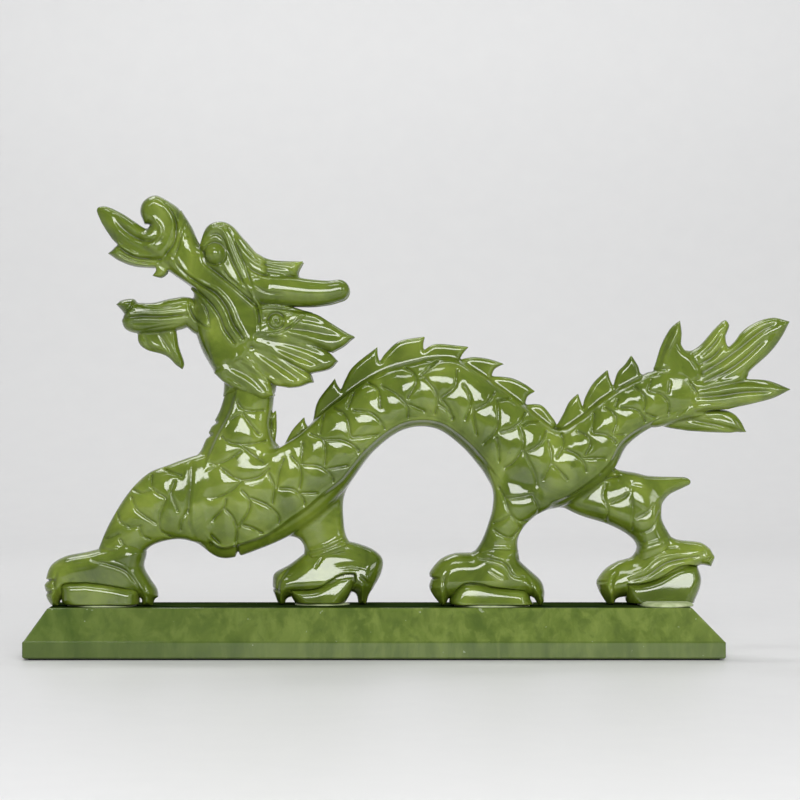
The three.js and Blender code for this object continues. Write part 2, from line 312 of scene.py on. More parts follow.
def dark_top_finish():
    """The top of the plinth, painted near-black and given no reflection: painted shade in place of the dark
    reflection along the top.
    """
    finish = Finish("painted_dark_top")
    point = finish.place()
    clouds = finish.noise(point, 55.0, 4.0, 0.6, 0.6)
    fine_streaks = finish.noise(finish.place((0.12, 1.0, 1.0)), 900.0, 3.0, 0.6)
    # Painted shade: near-black greens over the whole top, with fine streaks a little paler.
    colour = finish.ramp(clouds, (0.32, (0.010, 0.022, 0.005)), (0.68, (0.030, 0.050, 0.010)))
    colour = finish.mix(finish.band(fine_streaks, 0.55, 0.8) * 0.3, colour, (0.06, 0.085, 0.03))
    normal = finish.bump(fine_streaks, 0.3, 0.0003)
    return finish.surface(
        Base_Color=colour, Roughness=0.6 + clouds * 0.2, Normal=normal, Specular_IOR_Level=0.0,
    )


def cement_finish():
    finish = Finish("stone_cement")
    point = finish.place()
    blot = finish.noise(point, 160.0, 4.0)
    colour = finish.ramp(blot, (0.35, (0.30, 0.37, 0.16)), (0.65, (0.52, 0.58, 0.34)))
    normal = finish.bump(finish.noise(point, 420.0, 3.0), 0.5, 0.0006)
    return finish.surface(Base_Color=colour, Roughness=0.32 + blot * 0.2, Normal=normal)


def shadow_felt_finish():
    finish = Finish("base_felt")
    point = finish.place()
    fibre = finish.noise(finish.place((1, 1, 4)), 900.0, 4.0, 0.7)
    lint = finish.band(finish.noise(point, 1500.0, 2.0), 0.62, 0.75)
    # Painted shadow: the felt is coloured near-black so that its edge under the plinth reads as the shadow
    # line there.
    colour = finish.mix(lint * 0.4, (0.018, 0.02, 0.018), (0.09, 0.09, 0.085))
    normal = finish.bump(fibre, 0.9, 0.0008)
    return finish.surface(Base_Color=colour, Roughness=0.85 + fibre * 0.12, Normal=normal)


# ---- outlines ----

def spline(points, per_span=7):
    """A smooth run through the points."""
    p = np.array(points, float)
    if len(p) < 3:
        return p
    p = np.vstack([2 * p[0] - p[1], p, 2 * p[-1] - p[-2]])
    t = np.linspace(0, 1, per_span, endpoint=False)[:, None]
    runs = []
    for a, b, c, d in zip(p, p[1:], p[2:], p[3:]):
        bend, twist = 2 * a - 5 * b + 4 * c - d, 3 * b - a - 3 * c + d
        runs.append(0.5 * (2 * b + (c - a) * t + bend * t**2 + twist * t**3))
    runs.append(p[-2:-1])
    return np.vstack(runs)


def outline(*runs):
    """A closed outline. Each run is smooth, and the runs meet at corners."""
    parts = []
    for run, after in zip(runs, runs[1:] + runs[:1]):
        parts.append(spline(list(run) + [after[0]])[:-1])
    return np.vstack(parts)


def smoothstep(value, low, high):
    t = np.clip((value - low) / (high - low), 0, 1)
    return t * t * (3 - 2 * t)


def smooth_min(a, b, blend):
    h = np.clip(0.5 + 0.5 * (b - a) / blend, 0, 1)
    return b + (a - b) * h - blend * h * (1 - h)


# ---- a block of stone ----

class Stone:
    """A block of stone sampled on a grid. Forms are joined into it, marks are cut into it."""

    MARGIN = 9.0

    def __init__(self, low, high, step=STEP):
        self.step = step
        counts = [int(math.ceil((b - a) / step / COARSE)) * COARSE + 1 for a, b in zip(low, high)]
        self.x, self.y, self.z = [a + step * np.arange(n) for a, n in zip(low, counts)]
        self.X, self.Z = np.meshgrid(self.x, self.z, indexing="ij")
        self.forms = []
        self.marks = []
        self.floor = None

    # distances in the side view

    def window(self, points, margin):
        low = np.min(points, axis=0) - margin
        high = np.max(points, axis=0) + margin
        i0, i1 = np.searchsorted(self.x, (low[0], high[0]))
        k0, k1 = np.searchsorted(self.z, (low[1], high[1]))
        return slice(i0, i1), slice(k0, k1)

    def inside(self, shape):
        """Distance in from the outline, negative outside it."""
        area = self.window(shape, self.MARGIN)
        X, Z = self.X[area], self.Z[area]
        nearest = np.full(X.shape, np.inf)
        within = np.zeros(X.shape, bool)
        for (ax, az), (bx, bz) in zip(shape, np.roll(shape, -1, axis=0)):
            ex, ez = bx - ax, bz - az
            px, pz = X - ax, Z - az
            t = np.clip((px * ex + pz * ez) / max(ex * ex + ez * ez, 1e-12), 0, 1)
            nearest = np.minimum(nearest, (px - ex * t) ** 2 + (pz - ez * t) ** 2)
            if az != bz:
                within ^= ((az <= Z) != (bz <= Z)) & (px < ex * pz / ez)
        distance = np.full(self.X.shape, -self.MARGIN)
        distance[area] = np.maximum(np.where(within, 1, -1) * np.sqrt(nearest), -self.MARGIN)
        return distance

    def along(self, line, margin):
        """Distance from a line, and how far along it (0 to 1) the nearest point is."""
        area = self.window(line, margin)
        X, Z = self.X[area], self.Z[area]
        lengths = np.hypot(*np.diff(line, axis=0).T)
        reach = np.concatenate([[0], np.cumsum(lengths)]) / max(lengths.sum(), 1e-9)
        nearest = np.full(X.shape, np.inf)
        where = np.zeros(X.shape)
        for n in range(len(line) - 1):
            (ax, az), (bx, bz) = line[n], line[n + 1]
            ex, ez = bx - ax, bz - az
            px, pz = X - ax, Z - az
            t = np.clip((px * ex + pz * ez) / max(ex * ex + ez * ez, 1e-12), 0, 1)
            gap = (px - ex * t) ** 2 + (pz - ez * t) ** 2
            closer = gap < nearest
            nearest = np.where(closer, gap, nearest)
            where = np.where(closer, reach[n] + t * (reach[n + 1] - reach[n]), where)
        distance = np.full(self.X.shape, float(margin))
        fraction = np.zeros(self.X.shape)
        distance[area] = np.minimum(np.sqrt(nearest), margin)
        fraction[area] = where
        return distance, fraction

    # forms

    def join(self, form, blend=0.8):
        self.forms.append((form, blend))

    def slab(self, shape, half, edge, depth=0.0, mirrored=False, blend=0.8, relief=None, grown=0.0):
        """An outline worked to a half thickness about a depth, its edge rounded over the width given."""
        distance = self.inside(shape) + grown
        half = half(self.X, self.Z) if callable(half) else np.full(self.X.shape, float(half))
        edge = edge(self.X, self.Z) if callable(edge) else edge
        across = 1 - np.minimum(distance / edge, 1)
        size = np.minimum(half, edge)
        cut = relief if relief is not None else np.zeros(self.X.shape)

        def form(i, y, k):
            y = np.abs(y) if mirrored else y
            return (np.sqrt(((y - depth) / half[i, k]) ** 2 + across[i, k] ** 2) - 1) * size[i, k] + cut[i, k]

        self.join(form, blend)

    def strand(self, points, radii, depths, mirrored=False, blend=0.8, flat=1.0):
        """A rounded strand along a line, with its radius and its depth given along it."""
        line = spline(points)
        distance, fraction = self.along(line, max(radii) * 1.3 + 4)
        radius = np.interp(fraction, np.linspace(0, 1, len(radii)), radii)
        depth = np.interp(fraction, np.linspace(0, 1, len(depths)), depths)

        def form(i, y, k):
            y = np.abs(y) if mirrored else y
            return np.sqrt(distance[i, k] ** 2 + ((y - depth[i, k]) * flat) ** 2) - radius[i, k]

        self.join(form, blend)

    def ball(self, centre, radius, depth, mirrored=False, blend=0.8):
        gap = np.hypot(self.X - centre[0], self.Z - centre[1])

        def form(i, y, k):
            y = np.abs(y) if mirrored else y
            return np.sqrt(gap[i, k] ** 2 + (y - depth) ** 2) - radius

        self.join(form, blend)

    def round(self, limb, depth=0.0, power=2.3, blend=0.8, relief=None):
        """Rounds a limb about a depth, less the relief cut into it."""
        cut = relief if relief is not None else np.zeros(self.X.shape)
        size = np.minimum(limb.half, limb.depth)
        reach = np.abs(limb.across) ** power

        def form(i, y, k):
            girth = (reach[i, k] + np.abs((y - depth) / limb.depth[i, k]) ** power) ** (1 / power)
            return np.maximum((girth - 1) * size[i, k], limb.beyond[i, k]) + cut[i, k]

        self.join(form, blend)

    # marks

    def groove(self, points, width, deep, side=0, taper=True, raised=0.0):
        """A groove cut along a line, with a raised lip on each side if one is asked for."""
        line = spline(points)
        distance, fraction = self.along(line, width * 2.2)
        ends = np.sin(np.pi * np.clip(fraction, 0.02, 0.98)) ** 0.5 if taper else 1.0
        cut = deep * ends * np.exp(-((distance / (width * 0.5)) ** 2))
        lip = raised * ends * np.exp(-(((distance - width * 0.95) / (width * 0.45)) ** 2))
        self.mark(cut - lip, side)

    def engraved(self, lines, width, deep, swell, reach):
        """Relief of narrow cuts along the lines, with the stone between them left swelling."""
        nearest = np.full(self.X.shape, float(reach))
        for line in lines:
            nearest = np.minimum(nearest, self.along(spline(line), reach)[0])
        return deep * np.exp(-((nearest / (width * 0.5)) ** 2)) - swell * smoothstep(nearest, 0, reach)

    def mark(self, cut, side=0):
        self.marks.append((cut, side))

    def settle(self):
        """Adds the marks up, one sum for each side."""
        total = {side: np.zeros(self.X.shape) for side in (-1, 0, 1)}
        for cut, side in self.marks:
            total[side] += cut
        self.near = total[0] + total[-1]
        self.far = total[0] + total[1]

    def sample(self, i, j, k):
        y = self.y[j]
        value = None
        for form, blend in self.forms:
            part = form(i, y, k)
            value = part if value is None else smooth_min(value, part, blend)
        to_near = np.clip(0.5 - y / 5.0, 0, 1)
        value = value + to_near * self.near[i, k] + (1 - to_near) * self.far[i, k]
        return value if self.floor is None else np.maximum(value, self.floor - self.z[k])

    def values(self):
        """The distance to the carved surface at the samples near it, and its sign elsewhere."""
        self.settle()
        shape = (len(self.x), len(self.y), len(self.z))
        rough = [np.arange(0, n, COARSE) for n in shape]
        i, j, k = np.meshgrid(*rough, indexing="ij")
        coarse = self.sample(i.ravel(), j.ravel(), k.ravel()).reshape(i.shape)
        corners = [coarse[a:a + coarse.shape[0] - 1, b:b + coarse.shape[1] - 1, c:c + coarse.shape[2] - 1]
                   for a in (0, 1) for b in (0, 1) for c in (0, 1)]
        low = np.minimum.reduce(corners)
        high = np.maximum.reduce(corners)
        reach = self.step * COARSE * 1.5
        near = (low < reach) & (high > -reach)
        fine = np.where(low > 0, 9.0, -9.0).astype(np.float32)
        for axis in range(3):
            fine = np.repeat(fine, COARSE, axis)
            near = np.repeat(near, COARSE, axis)
        full = np.full(shape, 9.0, np.float32)
        full[:-1, :-1, :-1] = fine
        i, j, k = np.nonzero(near)
        full[i, j, k] = self.sample(i, j, k)
        return full

    def skin(self):
        """Vertices in millimetres and four-sided faces of the carved surface."""
        field = self.values()
        solid = field < 0
        n = [s - 1 for s in field.shape]
        offsets = [(a, b, c) for a in (0, 1) for b in (0, 1) for c in (0, 1)]
        count = np.zeros(n, np.uint8)
        for a, b, c in offsets:
            count += solid[a:a + n[0], b:b + n[1], c:c + n[2]]
        ci, cj, ck = np.nonzero((count > 0) & (count < 8))
        corner = np.array([field[ci + a, cj + b, ck + c] for a, b, c in offsets])
        total = np.zeros((len(ci), 3))
        hits = np.zeros(len(ci))
        for p in range(8):
            for q in range(p + 1, 8):
                step = np.subtract(offsets[q], offsets[p])
                if np.abs(step).sum() != 1:
                    continue
                crosses = (corner[p] < 0) != (corner[q] < 0)
                t = corner[p][crosses] / (corner[p][crosses] - corner[q][crosses])
                total[crosses] += np.array(offsets[p]) + t[:, None] * step
                hits[crosses] += 1
        verts = total / hits[:, None] + np.stack([ci, cj, ck], 1)
        ids = np.full(n, -1, np.int32)
        ids[ci, cj, ck] = np.arange(len(ci))
        faces = np.vstack([self._quads(solid, ids, axis) for axis in range(3)])
        verts = relax(verts, faces) * self.step + np.array([self.x[0], self.y[0], self.z[0]])
        return verts, faces

    @staticmethod
    def _quads(solid, ids, axis):
        u, v = [(1, 2), (2, 0), (0, 1)][axis]
        lower = [slice(None)] * 3
        upper = [slice(None)] * 3
        lower[axis], upper[axis] = slice(None, -1), slice(1, None)
        for a in (u, v):
            lower[a] = upper[a] = slice(1, -1)
        here, there = solid[tuple(lower)], solid[tuple(upper)]
        at = np.array(np.nonzero(here != there))
        at[u] += 1
        at[v] += 1
        outward = here[tuple(np.array(np.nonzero(here != there)))]
        ring = []
        for du, dv in ((-1, -1), (0, -1), (0, 0), (-1, 0)):
            cell = at.copy()
            cell[u] += du
            cell[v] += dv
            ring.append(ids[tuple(cell)])
        quads = np.stack(ring, 1)
        quads[~outward] = quads[~outward][:, ::-1]
        return quads


def neighbour_mean(values, faces, count):
    """For each vertex, the mean of the values at the other ends of its edges."""
    total = np.zeros_like(values)
    a = faces.ravel()
    b = np.roll(faces, -1, axis=1).ravel()
    weight = np.bincount(a, minlength=count) + np.bincount(b, minlength=count)
    for c in range(values.shape[1]):
        total[:, c] = np.bincount(a, values[b, c], count) + np.bincount(b, values[a, c], count)
    return total / np.maximum(weight, 1)[:, None]


def relax(verts, faces):
    """Evens the skin out without shrinking it."""
    for _ in range(RELAX_ROUNDS):
        for pull in RELAX_PULLS:
            verts = verts + pull * (neighbour_mean(verts, faces, len(verts)) - verts)
    return verts


def hollows(verts, faces, step):
    """How far each vertex lies below the surface around it: 0 on open surface, 1 in a deep groove."""
    d1 = verts[faces[:, 2]] - verts[faces[:, 0]]
    d2 = verts[faces[:, 3]] - verts[faces[:, 1]]
    face_normal = np.cross(d1, d2)
    normal = np.zeros_like(verts)
    for n in range(4):
        for c in range(3):
            normal[:, c] += np.bincount(faces[:, n], face_normal[:, c], len(verts))
    normal /= np.maximum(np.linalg.norm(normal, axis=1), 1e-9)[:, None]
    around = verts
    for _ in range(int(round((HOLLOW_REACH / step) ** 2))):
        around = neighbour_mean(around, faces, len(verts))
    depth = np.einsum("ij,ij->i", around - verts, normal)
    depth = neighbour_mean(depth[:, None], faces, len(verts))[:, 0]
    return np.clip(depth / HOLLOW_DEPTH, 0, 1)


# ---- limbs ----

class Limb:
    """A limb seen from the side, through stations of (one edge x, z, other edge x, z, half depth)."""

    def __init__(self, stone, stations):
        rows = np.array(stations, float)
        fine = spline(rows, 24)
        self.first, self.other, self.depths = fine[:, :2], fine[:, 2:4], fine[:, 4]
        self.middle = (self.first + self.other) / 2
        self.arm = (self.first - self.other) / 2
        self.number = np.arange(len(fine), dtype=float)
        spot = np.stack([stone.X.ravel(), stone.Z.ravel()], 1)
        at, across = self._start(spot)
        for _ in range(9):
            at, across = self._closer(spot, at, across)
        off = spot - self._point(at, across)
        shape = stone.X.shape
        self.beyond = np.hypot(off[:, 0], off[:, 1]).reshape(shape)
        self.beyond[self.beyond < 1e-3] = -99.0
        self.across = np.clip(across, -3, 3).reshape(shape)
        self.half = np.interp(at, self.number, np.hypot(*self.arm.T)).reshape(shape)
        self.depth = np.interp(at, self.number, self.depths).reshape(shape)

    def _start(self, spot):
        best = np.full(len(spot), np.inf)
        at = np.zeros(len(spot))
        across = np.zeros(len(spot))
        for n in range(0, len(self.number), 4):
            for v in (-0.9, -0.3, 0.3, 0.9):
                gap = ((spot - self.middle[n] - v * self.arm[n]) ** 2).sum(1)
                closer = gap < best
                best[closer] = gap[closer]
                at[closer] = n
                across[closer] = v
        return at, across

    def _line(self, table, at):
        return np.stack([np.interp(at, self.number, table[:, c]) for c in (0, 1)], 1)

    def _point(self, at, across):
        return self._line(self.middle, at) + across[:, None] * self._line(self.arm, at)

    def _closer(self, spot, at, across):
        nudge = 0.5
        here = self._point(at, across)
        arm = self._line(self.arm, at)
        low = np.clip(at - nudge, 0, self.number[-1])
        high = np.clip(at + nudge, 0, self.number[-1])
        slope = (self._point(high, across) - self._point(low, across)) / np.maximum(high - low, 1e-6)[:, None]
        off = spot - here
        det = slope[:, 0] * arm[:, 1] - slope[:, 1] * arm[:, 0]
        det = np.where(np.abs(det) < 1e-3, 1e-3, det)
        da = (off[:, 0] * arm[:, 1] - off[:, 1] * arm[:, 0]) / det
        dv = (slope[:, 0] * off[:, 1] - slope[:, 1] * off[:, 0]) / det
        at = np.clip(at + np.clip(da, -6, 6), 0, self.number[-1])
        return at, np.clip(across + np.clip(dv, -0.6, 0.6), -3, 3)


# ---- pieces ----

def make_mesh(name, verts, faces, material, hollow=None):
    faces = np.asarray(faces, np.int32)
    mesh = bpy.data.meshes.new(name)
    mesh.vertices.add(len(verts))
    mesh.vertices.foreach_set("co", (np.asarray(verts) * MM).astype(np.float32).ravel())
    mesh.loops.add(faces.size)
    mesh.loops.foreach_set("vertex_index", faces.ravel())
    mesh.polygons.add(len(faces))
    mesh.polygons.foreach_set("loop_start", np.arange(0, faces.size, faces.shape[1], dtype=np.int32))
    mesh.update(calc_edges=True)
    mesh.shade_smooth()
    if hollow is not None:
        attribute = mesh.attributes.new("hollow", "FLOAT", "POINT")
        attribute.data.foreach_set("value", hollow.astype(np.float32))
    mesh.materials.append(material)
    piece = bpy.data.objects.new(name, mesh)
    bpy.context.collection.objects.link(piece)
    return piece


def fit(piece, nodes):
    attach(piece, "root")
    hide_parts(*nodes)
    return piece


def carve(name, stone, material, nodes):
    verts, faces = stone.skin()
    return fit(make_mesh(name, verts, faces, material, hollows(verts, faces, stone.step)), nodes)


# ---- body, legs and crest ----

# Each station: back x, back z, belly x, belly z, half depth.
TRUNK = [
    (-57.5, 162, -85, 160, 13.5), (-58.5, 147, -89.5, 143, 14.5), (-60, 133, -97, 127.5, 16.5),
    (-56, 121, -106, 102, 18), (-43, 129, -106, 74, 19), (-31, 140, -90, 56.5, 19), (-17, 151, -64, 62.5, 19),
    (-4, 160, -38, 76, 18.5), (8, 166, -18, 95, 18), (22, 170, -1, 117.5, 17.5), (35, 172.5, 17, 130.7, 17.5),
    (48, 171.5, 35, 131.5, 17.5), (61, 164, 50, 121.5, 18), (75, 154, 61, 109, 18.5), (87, 145, 70, 97, 19),
    (98, 136, 84, 89, 19), (107, 131, 104, 85, 18), (119, 138, 125, 95, 17), (131, 148, 139, 108, 16),
    (145, 157, 147.5, 122.5, 14), (163, 165, 165, 134, 11.5), (180, 167, 186, 138.5, 8),
]
# Width of the plain strip that runs along the belly, by x.
BELLY_STRIP = ((-120, 4.5), (-97, 6.5), (-80, 7.5), (-62, 7.0), (-48, 9.5), (-32, 9.0), (-18, 5.6),
               (0, 4.2), (25, 4.2), (60, 5.0), (85, 6.5), (102, 5.0), (125, 6.0), (140, 5.5), (160, 3.5),
               (190, 2.0))
# The free edges of the body's scales, each drawn through a few points.
SCALE_EDGES = [
    [(-81, 150.5), (-76, 143), (-69.5, 141.5), (-64, 142)],
    [(-90, 132), (-86, 125), (-78.5, 122.5), (-69.5, 123), (-63, 124.5)],
    [(-76, 140.5), (-71.5, 134), (-66.5, 128.5)], [(-89.5, 133), (-77, 140)],
    [(-99.5, 113.5), (-91.5, 111), (-84, 113.5), (-76.5, 118.5)], [(-77, 122), (-71.5, 117.5), (-64, 112)],
    [(-87.5, 108.5), (-81.5, 104), (-75, 102), (-66, 104), (-60.5, 108.5)],
    [(-102, 93.5), (-96, 92), (-90.5, 92), (-82.5, 95.5), (-76.5, 101)],
    [(-101.5, 101), (-96, 106.5), (-88.5, 110)], [(-76, 96), (-72, 91), (-72, 84.5), (-78, 75)],
    [(-85, 91), (-87, 85.5), (-96.5, 75.5)], [(-86, 85.5), (-81, 80), (-79, 72), (-80, 64.5)],
    [(-102.5, 87.5), (-98, 81), (-97.5, 74.5), (-100, 68)], [(-97, 74), (-94, 70), (-89.5, 65.5)],
    [(-70.5, 91.5), (-61.5, 87.5), (-55.5, 82), (-54.5, 76.5)], [(-75.5, 76), (-70.5, 74.5), (-64, 71)],
    [(-54, 97.5), (-46.5, 96.5), (-41.5, 92), (-39, 85.5)], [(-60.5, 105.5), (-57.5, 98.5), (-58.5, 89)],
    [(-52, 114), (-54.5, 106.5), (-56, 97.5)], [(-47.5, 115.5), (-43, 110), (-42, 104), (-43, 97.5)],
    [(-42, 111), (-32, 110), (-25.5, 105.5), (-23, 100)],
    [(-36.5, 128.5), (-29.5, 125), (-28, 118.5), (-28.5, 111)],
    [(-28, 125), (-18.5, 125), (-11, 121), (-7.5, 116.5)], [(-26.5, 108.5), (-14, 110.5)],
    [(-41, 123), (-42, 112)], [(-24.5, 144), (-18, 140.5), (-15, 135), (-13.5, 127.5)],
    [(-12, 142), (-2, 140.5), (4, 135), (7, 129.5)], [(-13, 126.5), (2.5, 128)], [(-42, 94.5), (-27.5, 94.5)],
    [(-29.5, 140.5), (-31, 128.5)], [(-12, 152), (-15, 144)], [(-3.5, 158), (2.5, 153.5), (3.5, 144)],
    [(4.5, 156), (13.5, 150.5), (19, 144), (19.5, 138)], [(18, 166.5), (23, 163), (24, 157.5), (19.5, 149.5)],
    [(29, 160.5), (34.5, 154), (36.5, 147.5), (35, 140.5)], [(20, 145.5), (29, 141.5)],
    [(36.5, 146), (42, 142), (45.5, 137.5)], [(36.5, 170.5), (26.5, 161.5)],
    [(47.5, 165), (46.5, 156), (39, 149.5)],
    [(51.5, 156.5), (54.5, 151.5), (55.5, 145), (52.5, 137)], [(38, 149), (43, 143), (45, 137)],
    [(57, 144), (57.5, 136), (59, 128.5)], [(69, 152), (64.5, 146), (58.5, 142.5)],
    [(71, 147.5), (71.5, 139), (70, 130.5), (63, 123)], [(71, 147.5), (79, 149)],
    [(87, 140.5), (84.5, 136), (79, 131.5), (73, 129.5)], [(70.5, 126.5), (71.5, 120.5), (72, 113)],
    [(83.5, 133), (85.5, 127.5), (85, 119.5), (80, 112), (75, 109)],
    [(85.5, 133), (89.5, 135), (95.5, 135.5)], [(99, 130), (96.5, 124.5), (92.5, 120.5), (88.5, 118.5)],
    [(86, 119), (89.5, 112), (92.5, 105), (93.5, 98.5)], [(100, 124), (102, 117.5), (101, 110), (97, 102.5)],
    [(108, 128.5), (109, 123.5), (108, 119.5), (105, 115)], [(102.5, 111), (107, 107), (111, 102.5)],
    [(110, 119.5), (116.5, 116.5), (120.5, 112), (122, 107)],
    [(117.5, 130), (123, 126.5), (124.5, 122.5), (121.5, 116.5)],
    [(126, 129), (133, 128), (138, 125), (140.5, 121)], [(120.5, 114.5), (126.5, 114.5), (133, 114.5)],
    [(133.5, 143.5), (138, 140), (139.5, 135), (137.5, 129)], [(127, 140), (125.5, 129.5)],
    [(138, 128), (146, 128), (152.5, 129)], [(142.5, 143.5), (150.5, 142.5), (155.5, 138), (157, 130.5)],
    [(140.5, 148), (139, 144)], [(150.5, 155.5), (155.5, 150.5), (156.5, 146), (155.5, 142)],
    [(156.5, 140.5), (162.5, 138), (169, 137.5)], [(159, 153), (166, 151), (170, 146), (170, 139)],
    [(160, 159.5), (158, 153.5)], [(171, 158.5), (170, 152.5)],
]
# Each station: trailing edge x, z, leading edge x, z, half depth.
LEGS = {
    "near_foreleg": (NEAR, [
        (-96, 64, -88, 120, 8), (-102, 65.5, -105, 115.5, 11), (-112, 67.5, -119, 110.5, 12.5),
        (-121, 66.5, -131, 105.5, 12), (-129, 63.5, -142.5, 94, 11.5), (-133, 58.5, -153, 77, 10.5),
        (-133.5, 50, -159.5, 62, 10),
    ]),
    "far_foreleg": (FAR, [
        (-6, 113, -57, 92, 8), (-14, 101, -54, 80, 9.5), (-18, 90, -49.5, 70.5, 10),
        (-18, 78, -43.5, 66.5, 10), (-16.5, 69, -41, 61.5, 10), (-12, 62, -42, 54, 10),
    ]),
    "near_hind_leg": (NEAR, [
        (110, 100, 62, 113, 8), (103, 87, 68, 97, 11.5), (93, 81, 68.3, 87, 12), (86, 74, 66, 77.5, 11),
        (82.8, 66, 61.5, 66, 10), (84, 55, 55, 57, 9.5),
    ]),
    "far_hind_leg": (FAR, [
        (124, 112, 105, 88, 8), (140, 107, 119, 81, 11), (155, 104, 136, 75.5, 12.5), (166, 90, 148, 69, 12),
        (167.5, 78, 152.5, 62.5, 10.5), (174, 66, 150, 54, 9.5),
    ]),
}
LEG_EDGES = {
    "near_foreleg": [
        [(-128, 104.5), (-127.5, 97.5), (-119.5, 91.5)], [(-139.5, 92), (-136, 84.5), (-125.5, 77)],
        [(-148.5, 83.5), (-146, 78), (-140.5, 75), (-134, 75.5)],
        [(-139.5, 96.5), (-134, 94.5), (-128.5, 96)],
        [(-119.5, 91), (-123, 82), (-123, 73.5), (-117.5, 69.5)], [(-115, 101), (-116.5, 94.5), (-113, 84.5)],
        [(-135, 75), (-133, 70), (-129.5, 68)], [(-146, 68), (-143, 63.5), (-139.5, 62.5)],
        [(-156, 68), (-151.5, 69), (-147, 71)], [(-122, 108.5), (-116.5, 106.5), (-111, 104.5)],
        [(-107.5, 84.5), (-111, 78), (-111.5, 73.5)],
    ],
    "far_foreleg": [],
    "near_hind_leg": [
        [(72, 97.5), (75, 91.5), (78, 83), (83.5, 75)], [(76, 91.5), (83.5, 92), (90.5, 93.5)],
        [(91, 93.5), (94, 87.5), (94.5, 83)], [(69, 77), (74, 79), (79, 82)],
        [(78.5, 82), (83.5, 78.5), (91, 78.5)], [(69, 73), (74, 70), (79, 69), (84, 74)],
    ],
    "far_hind_leg": [
        [(149, 100.5), (148.5, 93.5), (149.5, 85.5), (149, 73)], [(137, 88.5), (142, 90.5), (147, 93.5)],
        [(134.5, 99.5), (132.5, 92.5), (135, 85.5), (134.5, 78)], [(151.5, 80), (157.5, 83), (161.5, 87.5)],
        [(165, 83), (160.5, 74), (154.5, 71)], [(149, 98.5), (161.5, 97), (180.5, 100)],
        [(126.5, 97.5), (134, 102), (144, 104)],
    ],
}
# How far the far hind thigh and its spur lean back from upright, as slopes.
THIGH_LEAN = 0.13
SPUR_LEAN = 0.10
# Width, depth, swell between and reach of the cuts on the body, the legs and the ankle cuffs.
BODY_CUT = (1.4, 1.2, 0.55, 7.0)
LEG_CUT = (1.4, 1.0, 0.3, 6.0)
CUFF_CUT = (2.0, 0.9, 0.0, 5.0)
# Pairs of rings turned round each ankle.
CUFFS = {
    "near_foreleg": [[(-158, 60.5), (-152, 60), (-141, 54)], [(-155, 63.5), (-146, 61.5), (-137, 57.5)]],
    "far_foreleg": [[(-37, 61), (-28, 63.5), (-18, 68.5)], [(-36, 57.5), (-27, 60.5), (-17, 64.5)]],
    "near_hind_leg": [[(62, 60.5), (69, 62.5), (78, 62.5)], [(63, 57.5), (70, 59.5), (80, 58.5)]],
    "far_hind_leg": [[(154, 63), (162, 65.5), (170, 67.5)], [(153, 60), (160, 62.5), (168, 65)]],
}
SPUR = outline(
    [(140, 107.5), (149.5, 105), (162, 103.8), (174, 103.3), (181, 103), (184, 101), (183.5, 98.8), (180, 97),
     (172, 93), (167.5, 88)],
    [(160, 80), (146, 90)],
)
FORE_CREST = outline(
    [(-54, 119), (-52, 123), (-47.5, 131)], [(-40.7, 138.5), (-40, 135)],
    [(-38.5, 132.4), (-35.8, 136), (-33, 147.3)],
    [(-23, 160.6), (-21.5, 157)], [(-19.5, 154), (-17, 160), (-12, 168)], [(1.8, 179), (2, 174)],
    [(3, 170.6), (7, 176), (15, 182.5)], [(29.5, 185), (28.5, 181)], [(28.5, 177), (36, 180.6)],
    [(55, 179), (51.5, 175)], [(49.5, 171.6), (57, 173), (66, 172)], [(75.5, 169), (70, 166)],
    [(68, 162), (79, 161), (87, 157.5)], [(93.5, 153), (89, 150)], [(87.5, 145.5), (97, 145)],
    [(104.5, 136.5), (105, 133)], [(98, 126), (84, 138), (70, 150), (50, 162), (25, 162), (3, 157),
                                   (-15, 146), (-34, 130)],
)
TAIL_CREST = outline(
    [(105, 132), (109.5, 140), (113, 147)], [(118.2, 152), (119.5, 148)],
    [(121, 143.5), (122, 149), (127, 158)],
    [(135.4, 166), (136.5, 161)], [(138.5, 156), (141, 164), (145.5, 169)],
    [(149, 174.3), (153, 168), (155, 163)], [(162, 162), (150, 150), (135, 140), (120, 128)],
)
NECK_CREST = outline([(-64, 118), (-60.6, 122), (-59.5, 132), (-60, 138)], [(-57, 142.8), (-56.6, 132)],
                     [(-57.5, 124), (-55, 119.5)])


